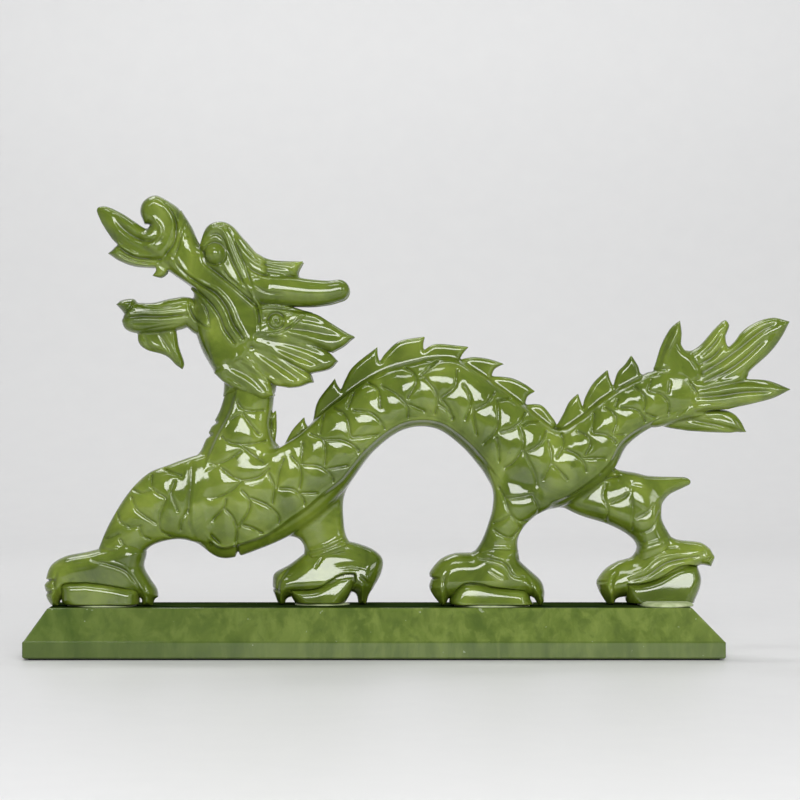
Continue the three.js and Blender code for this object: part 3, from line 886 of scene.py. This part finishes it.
def make_body(material):
    stone = Stone((-168, -24, 44), (192, 24, 189))
    from_back = stone.along(spline([row[:2] for row in TRUNK], 6), 40)[0]
    from_belly = stone.along(spline([row[2:4] for row in TRUNK], 6), 40)[0]
    up = from_belly - np.interp(stone.X, *zip(*BELLY_STRIP))
    relief = stone.engraved(SCALE_EDGES, *BODY_CUT)
    relief = relief * smoothstep(up, 0.2, 2.2) * smoothstep(from_back, 0.6, 3.0)
    relief -= 0.7 * np.exp(-(((up - 0.1) / 0.85) ** 2))
    trunk = Limb(stone, TRUNK)
    trunk.depth *= 1 - 0.17 * smoothstep(-up, 0.0, 2.0)
    stone.round(trunk, 0.0, 2.5, relief=relief)
    for name, (depth, stations) in LEGS.items():
        leg = Limb(stone, stations)
        from_edge = leg.half * (1 - np.abs(leg.across))
        relief = stone.engraved(LEG_EDGES[name], *LEG_CUT) * smoothstep(from_edge, 0.5, 2.5)
        relief -= stone.engraved(CUFFS[name], *CUFF_CUT) * smoothstep(from_edge, 0.0, 2.0)
        if name == "far_hind_leg":
            relief += THIGH_LEAN * np.clip(stone.Z - 92, -14, 12) * smoothstep(from_edge, 1.0, 8.0)
        stone.round(leg, depth, 2.5, blend=2.4, relief=relief)
    lean = SPUR_LEAN * np.clip(stone.Z - 98, -8, 8) * smoothstep(stone.inside(SPUR), 0.5, 4.0)
    stone.slab(SPUR, lambda X, Z: 10.5 - 6 * smoothstep(X, 150, 184), 4.5, FAR, blend=2.5, relief=lean)
    for crest in (FORE_CREST, TAIL_CREST, NECK_CREST):
        stone.slab(crest, 3.6, 2.6, blend=1.2)
    shoulder = [(-105, 111), (-105.5, 100), (-106.5, 88), (-106.5, 78), (-104, 69)]
    stone.groove(shoulder, 2.8, 1.4, side=-1, raised=0.2)
    for notch in ([(-98.5, 126.6), (-94, 128)], [(-95, 134), (-91, 135.2)], [(-79, 65), (-79.2, 57)]):
        stone.groove(notch, 1.7, 1.3, taper=False)
    carve("dragon_body", stone, material, [
        "neck", "chest", "forebody", "arched_back", "loins", "tail_root", "near_foreleg", "far_foreleg",
        "near_hind_leg", "far_hind_leg", "hind_spur", "neck_crest", "fore_crest", "middle_crest",
        "rear_crest", "tail_crest",
    ])


# ---- tail ----

TAIL = {
    "root": (0, 8.5, outline([(150, 160), (162, 165), (176, 163), (195, 158), (205, 150), (195, 141),
                              (178, 136), (160, 132), (146, 140)])),
    "first": (-2.0, 6.0, outline([(156, 158), (161.5, 165.5), (166.5, 180), (172, 190)],
                                 [(177.2, 194.2), (178.2, 187)],
                                 [(177.8, 180.5), (180, 177), (186, 172), (190, 160), (170, 152)])),
    "second": (0.5, 6.2, outline([(168, 158), (174, 170), (179, 176.6), (184, 176.8), (189.5, 180.4),
                                  (196.5, 188.4)],
                                 [(201.5, 193.5), (204, 194.4), (206, 191)],
                                 [(203.8, 185), (205, 179.5), (212, 170), (195, 150)])),
    "third": (-1.0, 6.0, outline([(180, 156), (206, 179), (213, 187.5), (221, 193), (231, 195.8)],
                                 [(241, 193.6), (236, 184), (229, 175), (218, 165), (216, 161)],
                                 [(205, 150), (190, 146)])),
    "fourth": (-3.5, 5.5, outline([(184, 156), (200, 160), (217, 160), (229, 159)],
                                  [(241.4, 154.2), (231, 149)],
                                  [(218, 145.5), (210, 143.8), (196, 141), (184, 142)])),
    "fifth": (2.5, 5.0, outline([(168, 148), (190, 146), (206, 141.5), (212, 137)],
                                [(216.2, 129.3), (200, 129)], [(182, 130), (167, 133), (162, 140)])),
}
TAIL_FLUTES = [
    ([(164, 166), (168, 178), (174.5, 191)], 2.4, 1.1), ([(160, 164.8), (170, 166.2)], 1.6, 0.7),
    ([(190, 174), (197, 181), (202.6, 190)], 1.8, 0.8), ([(188, 168.5), (196, 173), (202, 180)], 2.2, 0.9),
    ([(188, 163), (198, 168), (210, 177), (224, 188), (235, 193)], 3.0, 1.4),
    ([(191, 158.5), (204, 165), (214, 172), (226, 183)], 2.6, 1.1),
    ([(188, 153.5), (202, 156.5), (216, 158), (232, 155.5)], 2.6, 1.3),
    ([(187, 149.5), (200, 150.5), (214, 152.5), (232, 153.2)], 2.4, 1.2),
    ([(184, 140.5), (192, 141.5), (203, 142.5)], 2.6, 1.2),
    ([(183, 136.5), (193, 134.5), (203, 132.5), (211, 130)], 2.4, 1.1),
]
TAIL_SCALES = [
    [(176.6, 163), (182, 158.5), (186, 153), (187, 149)],
    [(159.5, 152.5), (166.5, 150), (170.5, 144.5), (169.5, 138)],
    [(171, 161), (171.5, 155), (169, 151)], [(172, 149), (180, 146), (183, 145)], [(181, 144), (174, 138)],
]


def make_tail(material):
    stone = Stone((144, -14, 124), (246, 14, 198), FINE_STEP)
    for name, (depth, half, shape) in TAIL.items():
        stone.slab(shape, half, 4.5, depth, blend=1.0)
    for line, width, deep in TAIL_FLUTES:
        stone.groove(line, width, deep, raised=0.25)
    for line in TAIL_SCALES:
        stone.groove(line, 1.3, 0.8)
    carve("tail_leaves", stone, material, [f"tail_leaf_{n}" for n in range(1, 6)])


# ---- head ----

BRIDGE = outline(
    [(-112, 258), (-106, 248.5), (-100.5, 238), (-95, 246), (-86.5, 242), (-74, 222), (-64, 205), (-63, 190),
     (-68, 178), (-77.5, 168), (-91.5, 163)],
    [(-93.5, 165), (-99.5, 175.5), (-103.5, 186.5), (-106.5, 200), (-105, 210), (-110.5, 215.5), (-118, 221),
     (-125, 227), (-123, 240), (-117, 252)],
)
NOSE_CURL = outline(
    [(-133.5, 250), (-136, 257), (-134, 263.5), (-127.5, 266.8), (-120.5, 264), (-113, 258.5), (-111.5, 252),
     (-113.5, 243), (-117, 234), (-124, 229)],
    [(-133, 234), (-138, 243)], [(-132, 247.5), (-130.5, 249.5)],
)
SNOUT_LEAF = outline(
    [(-160.6, 255.5), (-161.3, 258.3), (-159.8, 260.2), (-155, 260.2), (-146, 256), (-139, 251.5),
     (-132.5, 247.5), (-126, 247), (-120, 238), (-118, 229), (-128, 227.5), (-139, 230), (-147.5, 235.5),
     (-153.5, 243), (-158, 250)],
)
LIP = outline(
    [(-154.8, 233), (-150.5, 237)], [(-149.5, 241), (-140, 236.5), (-128, 231), (-118, 231), (-117, 226)],
    [(-126.5, 224.3), (-139, 225.3), (-148, 228.5)],
)
FANG = outline([(-129, 228), (-126.5, 223.5)], [(-128.6, 220), (-124, 219), (-120.5, 221.5), (-117, 228)])
JAW = outline(
    [(-150, 203.5), (-146.5, 206), (-140, 206.8)],
    [(-137.5, 204.5), (-128, 204.6), (-118, 207), (-108, 207.8)],
    [(-99, 203), (-97, 190), (-103, 186)], [(-109, 190), (-113.5, 188.5), (-128, 186.5), (-138, 186.6),
                                            (-144.5, 189), (-146.6, 194), (-145.5, 198)],
)
BEARD = outline(
    [(-137.5, 188.5), (-137, 181.5), (-132.5, 177.3), (-121, 173.5), (-115.5, 168.5)],
    [(-111.5, 165.6), (-110.4, 169.5), (-113.5, 179), (-115, 188)], [(-118, 191), (-130, 191)],
)
BROW = outline(
    [(-101, 237), (-98, 246), (-94, 250), (-88, 251), (-82, 248.5), (-75.5, 241), (-69, 233.5), (-62, 228)],
    [(-60, 212), (-64, 203)], [(-70, 204.5), (-80, 212), (-88, 219), (-95.5, 226)],
)
TUFT = outline([(-84, 246), (-75.5, 241), (-68, 233), (-60, 229.2), (-50, 228.3)], [(-41, 228.2), (-44, 222)],
               [(-43.5, 218.5), (-59, 217.5), (-72, 218), (-82, 230)])
EYE_BED = outline([(-70, 206), (-55, 204), (-42, 200), (-35, 197.5)], [(-38, 191), (-50, 184.5), (-64, 180),
                                                                      (-71, 192)])
# Points, radii and depths along the horn.
HORN = ([(-74, 213), (-58, 212), (-40, 210), (-28, 210), (-20.5, 211.3)], [8.5, 9.6, 8.6, 7.6, 6.2],
        [10, 11, 11.5, 12, 12])
# Depth and outline of each lock.
MANE = [
    (13.2, outline([(-68, 194), (-50, 198), (-36, 198), (-25, 192.5)], [(-11.3, 184.5), (-18, 179)],
                   [(-24.5, 175.5), (-37, 178), (-51, 181), (-72, 184)])),
    (12.8, outline([(-72, 188), (-51.5, 186), (-37, 181.5), (-26, 175.5)], [(-20.8, 170.6), (-26, 166)],
                   [(-37, 163.3), (-48.5, 168), (-72, 178)])),
    (12.2, outline([(-78, 180), (-61.5, 180), (-48.5, 172), (-38, 164)], [(-35.3, 158.2), (-42, 156)],
                   [(-50, 154.8), (-58, 157), (-66, 164), (-80, 172)])),
    (11.6, outline([(-92.5, 163.6), (-88, 169.5), (-78, 174), (-68.5, 169), (-60.5, 159)],
                   [(-58, 150.3), (-64, 148.5)], [(-71, 150.5), (-79, 154), (-87, 158.5)])),
]
MANE_FLUTES = [
    ([(-60, 190), (-43, 188.8), (-29, 186.5), (-15, 183.5)], 4.0, 1.7),
    ([(-55, 194.6), (-39, 194), (-27, 190.5), (-16, 186)], 3.4, 1.3),
    ([(-65, 183.5), (-48, 180), (-34, 175.5), (-23, 170.5)], 4.2, 1.8),
    ([(-62, 179), (-46, 174), (-32, 168.5)], 3.8, 1.7), ([(-57, 187), (-40, 182.3), (-26, 177)], 2.4, 1.3),
    ([(-70, 177.5), (-57.5, 170), (-47, 163), (-39, 157.5)], 4.0, 1.8),
    ([(-66, 179), (-52, 171), (-39, 162.5)], 2.6, 1.2),
    ([(-72, 173.5), (-62, 165), (-51, 156.5)], 3.4, 1.6),
    ([(-88, 163.5), (-78, 158), (-67.5, 151.5)], 3.4, 1.5),
    ([(-84, 167.5), (-72, 161.5), (-62, 152)], 3.8, 1.8),
    ([(-78.5, 170), (-68.5, 163), (-60.5, 156)], 2.6, 1.3),
]
# How much of each line's width, depth and lip is cut, on the face and in the mane.
FACE_CUT = (0.92, 0.66, 0.8)
FLUTE_CUT = (1.2, 0.85)
FLUTE_LIP = 0.2
# Knobs on the bridge and in the eye: middle, radius, depth, and the rings cut round them.
KNOBS = (((-91.8, 232.3), 5.6, 14.6, (6.3,)), ((-56.5, 193.6), 4.2, 14.4, (4.6, 1.4)))
RING_DEEP = 0.9
RING_WIDTH = 0.75
# Each line: points, width, depth and lip. A depth below 0 raises a ridge.
FACE_LINES = [
    # snout and lip
    ([(-151.5, 256), (-146.5, 248.5), (-139, 242.5), (-130, 239.5), (-124, 241)], 3.2, 1.5, 0.3),
    ([(-152, 240), (-144, 233.5), (-136, 230), (-124, 229.5)], 2.0, 1.6, 0.3),
    ([(-147.5, 232.6), (-142, 229.6), (-133, 227.4), (-124, 227.8)], 1.6, 0.9, 0.3),
    ([(-127, 252.5), (-123.5, 248), (-123.5, 243), (-127.5, 239), (-133.5, 236)], 2.2, -1.0, 0.0),
    ([(-121, 262), (-115.8, 254), (-114.4, 246), (-116, 238), (-121.5, 230.5)], 1.7, 1.4, 0.35),
    ([(-109.5, 251), (-111.5, 243), (-113.2, 236), (-115.5, 230.5)], 1.6, 1.2, 0.3),
    # lips swept back over the cheek
    ([(-124, 226), (-114, 218.5), (-104, 212), (-95.5, 205), (-89.5, 197), (-86, 188.5), (-80.5, 181)],
     1.7, 1.4, 0.4),
    ([(-120.5, 229.5), (-113.5, 222), (-103, 213.8), (-93.5, 208), (-87, 200), (-83, 190.5), (-77, 182)],
     2.4, -0.9, 0.0),
    ([(-117.5, 232), (-111.5, 223.5), (-101.5, 215.5), (-91.5, 209.5), (-85.2, 201.5), (-81, 191.5),
      (-75.5, 183.5)], 1.7, 1.2, 0.3),
    ([(-113.5, 230), (-108, 221.5), (-99, 216), (-90, 211), (-83, 203), (-79, 193.5), (-73.5, 184)],
     2.0, -0.7, 0.0),
    # tusk in the corner of the mouth
    ([(-106.8, 206), (-106.6, 201), (-103.6, 194.8), (-98, 190.6), (-94.5, 189.6)], 1.5, 1.1, 0.3),
    ([(-94.8, 190), (-96.5, 199.5), (-101, 206)], 1.3, 1.0, 0.3),
    # jaw, chin and beard
    ([(-145.5, 195), (-135, 196.3), (-123, 196.2), (-108, 197.5)], 2.0, 1.3, 0.45),
    ([(-145.5, 198), (-141, 201), (-138.6, 205)], 1.4, 1.0, 0.3),
    ([(-137, 202.4), (-124, 201.6), (-112, 203.2)], 1.5, 0.6, 0.2),
    ([(-133, 188.6), (-124, 190.2), (-114, 191.8)], 1.6, 0.6, 0.0),
    ([(-134, 185), (-130, 178.5), (-120, 174.5)], 2.4, 0.8, 0.2),
    ([(-124.5, 186.5), (-120, 179), (-113.5, 169.5)], 2.0, 0.9, 0.2),
    # brow and hair
    ([(-99.3, 236), (-98.3, 228), (-91, 221.5), (-82, 214.5), (-72.5, 206.5), (-68, 202)], 2.0, 1.3, 0.2),
    ([(-98.5, 240), (-94.5, 245.8), (-89, 246.8), (-85.5, 243), (-83, 236), (-79.5, 227.5), (-75, 218),
      (-69.5, 207)], 1.8, -1.2, 0.0),
    ([(-96, 241.5), (-91.5, 243.6), (-87.3, 241), (-84.5, 234.5), (-81, 226), (-76, 216.5), (-71, 208)],
     1.5, 1.3, 0.0),
    ([(-92, 249), (-86.5, 248.5), (-82, 243), (-78, 233.5), (-74, 224), (-69.5, 211)], 1.5, 1.2, 0.3),
    ([(-88.5, 226.5), (-84.5, 219.5), (-77, 213), (-70, 207)], 1.6, 1.1, 0.2),
    ([(-83, 246), (-77, 238.5), (-71, 231), (-63, 226), (-50, 223.6)], 1.8, 0.9, 0.3),
    ([(-76, 229), (-70, 222.5), (-60, 219.2), (-45, 218.6)], 1.8, 1.5, 0.3),
    ([(-72, 215.5), (-62, 210), (-52.5, 209.2)], 1.6, 0.9, 0.2),
    # eye
    ([(-67, 199.5), (-62, 201), (-52, 200.5), (-40, 198)], 1.5, 1.1, 0.5),
    ([(-66.5, 186), (-57, 186.6), (-48, 190.5), (-40, 197)], 1.5, 1.0, 0.4),
    ([(-68.3, 204), (-66.3, 196), (-66.3, 188)], 1.6, 0.9, 0.2),
]


def make_head(material):
    stone = Stone((-166, -23, 144), (-6, 23, 272), FINE_STEP)
    stone.slab(BRIDGE, lambda X, Z: np.interp(X, (-122, -108, -95, -80, -65), (9.5, 11.5, 15, 18, 18.5)),
               lambda X, Z: 8.5 - 4.5 * smoothstep(X - 0.6 * Z, -208, -192))
    stone.slab(SNOUT_LEAF, lambda X, Z: np.interp(X, (-161, -148, -132, -120), (2.6, 6.5, 9.0, 10.0)), 5.0,
               blend=0.9)
    stone.slab(LIP, 8.0, 3.2, blend=0.6)
    stone.slab(FANG, 2.6, 2.4, 5.0, mirrored=True, blend=0.6)
    stone.slab(NOSE_CURL, 11.0, 5.0, blend=0.9)
    stone.slab(JAW, 8.8, 4.5, blend=0.8)
    stone.slab(BEARD, 4.6, 4.0, blend=0.8)
    stone.slab(BROW, 7.5, 5.0, 10.0, mirrored=True, blend=0.7)
    stone.slab(TUFT, 5.5, 4.2, 9.0, mirrored=True, blend=0.6)
    stone.strand(*HORN, mirrored=True, blend=0.6, flat=0.95)
    stone.slab(EYE_BED, 8.5, 6.0, 8.0, mirrored=True, blend=0.7)
    for centre, radius, depth, _ in KNOBS:
        stone.ball(centre, radius, depth, mirrored=True, blend=0.4)
    for depth, shape in MANE:
        stone.slab(shape, 5.6, 4.2, depth, mirrored=True, blend=0.5)
    neck_stub = outline([(-88, 150), (-84, 172), (-62, 174), (-59, 150)])
    stone.slab(neck_stub, 13.0, 8.0)
    for line, width, deep, raised in FACE_LINES:
        stone.groove(line, FACE_CUT[0] * width, FACE_CUT[1] * deep, raised=FACE_CUT[2] * raised)
    for line, width, deep in MANE_FLUTES:
        stone.groove(line, FLUTE_CUT[0] * width, FLUTE_CUT[1] * deep, raised=FLUTE_LIP)
    for centre, _, _, radii in KNOBS:
        gap = np.hypot(stone.X - centre[0], stone.Z - centre[1])
        for radius in radii:
            stone.mark(RING_DEEP * np.exp(-(((gap - radius) / RING_WIDTH) ** 2)))
    carve("dragon_head", stone, material, [
        "head", "lower_jaw", "near_horn", "far_horn", "near_brow_tuft", "far_brow_tuft", "near_mane",
        "far_mane",
    ])


# ---- paws and pearls ----

PAWS = {
    "near_fore": (NEAR, outline(
        [(-156, 63), (-166, 60.4), (-178, 58), (-186.5, 53), (-189.6, 45.5)], [(-188.6, 43.8), (-190.6, 41)],
        [(-189.6, 37), (-189.3, 33.5), (-186, 29)], [(-182, 29), (-181.5, 32), (-178, 35)],
        [(-170, 33), (-145, 33), (-138, 35)], [(-134.4, 33), (-133.8, 29)], [(-128, 29), (-127, 32.6)],
        [(-124.8, 34.4), (-125.6, 39), (-129.5, 45), (-133, 52), (-132, 62), (-142, 68)],
    )),
    "far_fore": (FAR, outline(
        [(-42, 58), (-50, 52), (-58, 47.5), (-59.4, 42)], [(-59, 36.5), (-55.5, 29)],
        [(-52.5, 29), (-50, 33)],
        [(-40, 34), (-22, 35), (-12, 36)], [(-9.2, 29)], [(-5.0, 29), (-3.2, 34.5)],
        [(-1, 38), (3.8, 47), (4.8, 55), (0, 60.5), (-8, 64), (-17, 66), (-30, 66)],
    )),
    "near_hind": (NEAR, outline(
        [(56, 60), (46, 59.5), (38, 56), (32.4, 49.5), (31.8, 46.6)], [(32.8, 44.6), (31.6, 40), (34, 35)],
        [(39, 29)], [(41, 29), (43.4, 33.6)], [(50, 34), (80, 35), (88, 35)], [(92.4, 33.4), (95.4, 29)],
        [(98, 31.4), (98.2, 38), (96, 44), (89, 50.5), (83.5, 56), (82, 63), (68, 66)],
    )),
    "far_hind": (FAR, outline(
        [(152, 60), (149, 56.5), (141, 54), (134, 49.5), (129.8, 44)], [(129, 41.4), (131, 36), (136, 29)],
        [(139.4, 29), (141.4, 32.6)], [(150, 34), (170, 40), (184, 46)], [(187.8, 51), (190.6, 52)],
        [(196, 51), (198, 56)], [(197.4, 58), (194.6, 62), (189, 65.4), (176, 67), (166, 72), (155, 70)],
    )),
}
PEARLS = {
    "near_fore": outline([(-179.5, 36), (-178.8, 42.3)], [(-166, 43.4), (-151.8, 41.6), (-138.6, 38.6)],
                         [(-137, 36), (-141, 26)], [(-172, 26), (-178, 31)]),
    "far_fore": outline([(-49, 38), (-34.6, 38.8), (-26, 43.5), (-20, 47), (-11.6, 47.6)],
                        [(-10.5, 43), (-19.5, 30),
                        (-21, 26)], [(-41, 26), (-46, 33)]),
    "near_hind": outline([(47, 39), (52, 42.8), (60, 42.8), (70, 40.5), (82, 39)],
                         [(86.6, 38), (88.5, 33), (87, 26)], [(48, 26), (45, 32)]),
    "far_hind": outline([(146, 41.6), (156, 42.2), (165, 45), (174, 50.5), (181, 52.6)],
                        [(187.6, 51.6), (188.8, 43),
                        (185, 33), (180, 26)], [(152, 26), (148, 32)]),
}
PAW_LINES = {
    "near_fore": [
        ([(-162, 56), (-152, 53.5), (-143, 50), (-137, 43), (-134, 38)], 1.6, 0.8),
        ([(-189, 44), (-184, 44.6)], 1.2, 0.9),
        ([(-190, 36.6), (-184, 38)], 1.2, 0.9), ([(-182, 50), (-184, 42), (-182, 34)], 2.0, 0.7),
        ([(-132, 41), (-130, 33)], 1.4, 0.6),
    ],
    "far_fore": [
        ([(-50, 50), (-55, 43), (-56, 36)], 1.8, 0.7), ([(-30, 57), (-34, 51)], 1.4, 0.6),
        ([(-8, 46), (-3, 41)], 2.0, 0.9),
        ([(-59.6, 38.6), (-54, 37)], 1.2, 0.8), ([(-22, 51), (-12, 51.6), (-4, 50)], 1.6, -0.5),
    ],
    "near_hind": [
        ([(60, 57.5), (70, 56), (76, 53), (80, 47), (88, 45.5)], 1.6, 0.8),
        ([(31.6, 45), (37, 45.6)], 1.2, 0.9),
        ([(42, 50), (40, 42), (42, 34)], 2.0, 0.7), ([(88, 46), (91, 40), (91, 34)], 1.8, 0.7),
        ([(66, 50), (74, 45)], 1.2, 0.4),
    ],
    "far_hind": [
        ([(146, 46), (156, 50), (164, 56.5), (178, 59.5), (195, 61)], 2.2, -1.0),
        ([(148, 43.5), (158, 46.5), (170, 54), (190, 58)], 2.0, 0.9),
        ([(129.6, 42), (135, 43)], 1.2, 0.9), ([(140, 48), (137, 41), (139, 34)], 2.0, 0.7),
        ([(196.4, 57), (192, 55)], 1.2, 0.8), ([(158, 66), (168, 62), (176, 62)], 1.4, 0.6),
    ],
}
# How far each paw's face leans back from upright, as a slope.
LEAN = {"near_fore": 0.0, "far_fore": 0.2, "near_hind": 0.05, "far_hind": 0.17}
# How fast each pearl's face falls back towards its top.
PEARL_CURVE = {"near_fore": 0.0, "far_fore": 0.0056, "near_hind": 0.0056, "far_hind": 0.0034}


# Heights at which the paws and pearls are cut flat, the depth of a pearl's bed and the paws' middle height.
PAW_FLOOR = 29.3
PEARL_FLOOR = 30.2
BED_DEPTH = 2.0
PAW_MIDDLE = 47


def make_paws(material, pearl_material):
    for name, (depth, shape) in PAWS.items():
        low, high = shape.min(axis=0) - 4, shape.max(axis=0) + 4
        stone = Stone((low[0], depth - 18, 26), (high[0], depth + 18, high[1]), FINE_STEP)
        stone.floor = PAW_FLOOR
        bed = BED_DEPTH * smoothstep(stone.inside(PEARLS[name]), -0.2, 0.6)
        lean = LEAN[name] * (stone.Z - PAW_MIDDLE) * smoothstep(stone.inside(shape), 0.5, 7.0)
        stone.slab(shape, 13.6, 10.0, depth, relief=bed + lean)
        for line, width, deep in PAW_LINES[name]:
            stone.groove(line, width, deep, raised=0.2)
        carve(f"{name}_paw", stone, material, [f"{name}_paw"])
        low, high = PEARLS[name].min(axis=0) - 3, PEARLS[name].max(axis=0) + 3
        stone = Stone((low[0], depth - 19, 26), (high[0], depth + 19, high[1]), FINE_STEP)
        stone.floor = PEARL_FLOOR
        curve = PEARL_CURVE[name] * np.maximum(stone.Z - 30, 0) ** 2
        stone.slab(PEARLS[name], 14.8, 6.6, depth, grown=1.9, relief=curve)
        carve(f"{name}_pearl", stone, pearl_material, [f"{name}_pearl"])


# ---- plinth, cement and felt ----

def ring(z, x0, x1, y0, y1, corner):
    """A rectangle with rounded corners at a height, as points."""
    made = []
    for n, (cx, cy) in enumerate(((x1, y1), (x0, y1), (x0, y0), (x1, y0))):
        sx, sy = (1, -1)[cx == x0], (1, -1)[cy == y0]
        for a in range(CORNER_POINTS):
            angle = math.pi / 2 * (n + a / (CORNER_POINTS - 1))
            x = cx - sx * corner + corner * math.cos(angle)
            y = cy - sy * corner + corner * math.sin(angle)
            made.append((x, y, z))
    return made


def loft(rings):
    """Vertices and faces of a solid skinned over rings, with flat ends fanned from their middles."""
    count = len(rings[0])
    verts = [point for one in rings for point in one]
    quads = []
    for n in range(len(rings) - 1):
        for a in range(count):
            b = (a + 1) % count
            quads.append((n * count + a, n * count + b, (n + 1) * count + b, (n + 1) * count + a))
    ends = []
    for one, flip in ((0, True), (len(rings) - 1, False)):
        middle = len(verts)
        verts.append(tuple(np.mean(rings[one], axis=0)))
        for a in range(count):
            pair = (one * count + a, one * count + (a + 1) % count)
            ends.append((middle, *(pair[::-1] if flip else pair)))
    triangles = [t for q in quads for t in ((q[0], q[1], q[2]), (q[0], q[2], q[3]))] + ends
    return np.array(verts), triangles


def make_plinth(polished, dark_top):
    rings = [
        ring(1.0, -199.2, 199.2, -39.2, 39.2, 0.5), ring(1.8, -200, 200, -40, 40, 0.8),
        ring(9.9, -200, 200, -40, 40, 0.8), ring(10.5, -199.7, 199.7, -39.7, 39.7, 0.8),
        ring(10.9, -199.2, 199.2, -39.2, 39.2, 0.8), ring(28.3, -187.4, 182.6, -26.6, 26.6, 0.8),
        ring(28.8, -186.8, 182.0, -26.0, 26.0, 0.7), ring(29.0, -186.2, 181.4, -25.4, 25.4, 0.5),
    ]
    verts, faces = loft(rings)
    piece = make_mesh("plinth", verts, faces, polished, np.zeros(len(verts)))
    piece.data.materials.append(dark_top)
    # The flat top takes the near-black finish that paints shade onto it.
    top = [int((verts[list(face)][:, 2] > 28.99).all()) for face in faces]
    piece.data.polygons.foreach_set("material_index", top)
    piece.data.set_sharp_from_angle(angle=math.radians(24))
    fit(piece, ["plinth"])


def make_felt(material):
    rings = [ring(0.0, -196.6, 196.6, -36.6, 36.6, 2.0), ring(0.3, -197, 197, -37, 37, 2.0),
             ring(0.9, -197, 197, -37, 37, 2.0), ring(1.0, -196.8, 196.8, -36.8, 36.8, 2.0)]
    verts, faces = loft(rings)
    piece = make_mesh("base_felt", verts, faces, material)
    piece.data.set_sharp_from_angle(angle=math.radians(30))
    fit(piece, ["base_felt"])


# Middle x and y, half length, half depth and height of each bed. The last is smeared out to the front edge.
CEMENT = {
    "near_fore": (-157, NEAR, 18, 13, 1.0), "far_fore": (-31, FAR, 14, 13, 1.0),
    "near_hind": (68, NEAR, 20, 14, 1.0),
    "far_hind": (168.5, -3.5, 14.5, 19.5, 1.9),
}


def make_cement(material):
    random = np.random.default_rng(SEED)
    for name, (x, y, across, deep, height) in CEMENT.items():
        waves = random.uniform(-1, 1, (5, 2))
        rings = []
        for rise, grow in ((0.0, 1.6), (0.35, 1.7), (0.8, 0.9), (1.1, -0.2), (1.4, -2.0)):
            one = []
            for n in range(72):
                angle = 2 * math.pi * n / 72
                wobble = sum(a * math.sin((m + 2) * angle + 3 * b) for m, (a, b) in enumerate(waves)) * 0.5
                reach, width = across + grow + wobble, deep + grow + wobble
                one.append((x + reach * math.cos(angle), y + width * math.sin(angle),
                            PLINTH_TOP + height * rise))
            rings.append(one)
        verts, faces = loft(rings)
        fit(make_mesh(f"{name}_cement", verts, faces, material), [f"{name}_cement_bed"])


# ---- build ----

jade = jade_finish("polished_jade", *DRAGON_GREENS)
pearl_jade = jade_finish("pearl_jade", *PEARL_GREENS, 34.0)

bpy.context.scene.view_settings.view_transform = "Standard"
make_camera()
make_backdrop()
make_lights()
make_body(jade)
make_tail(jade)
make_head(jade)
make_paws(jade, pearl_jade)
make_plinth(plinth_finish(), dark_top_finish())
make_felt(shadow_felt_finish())
make_cement(cement_finish())
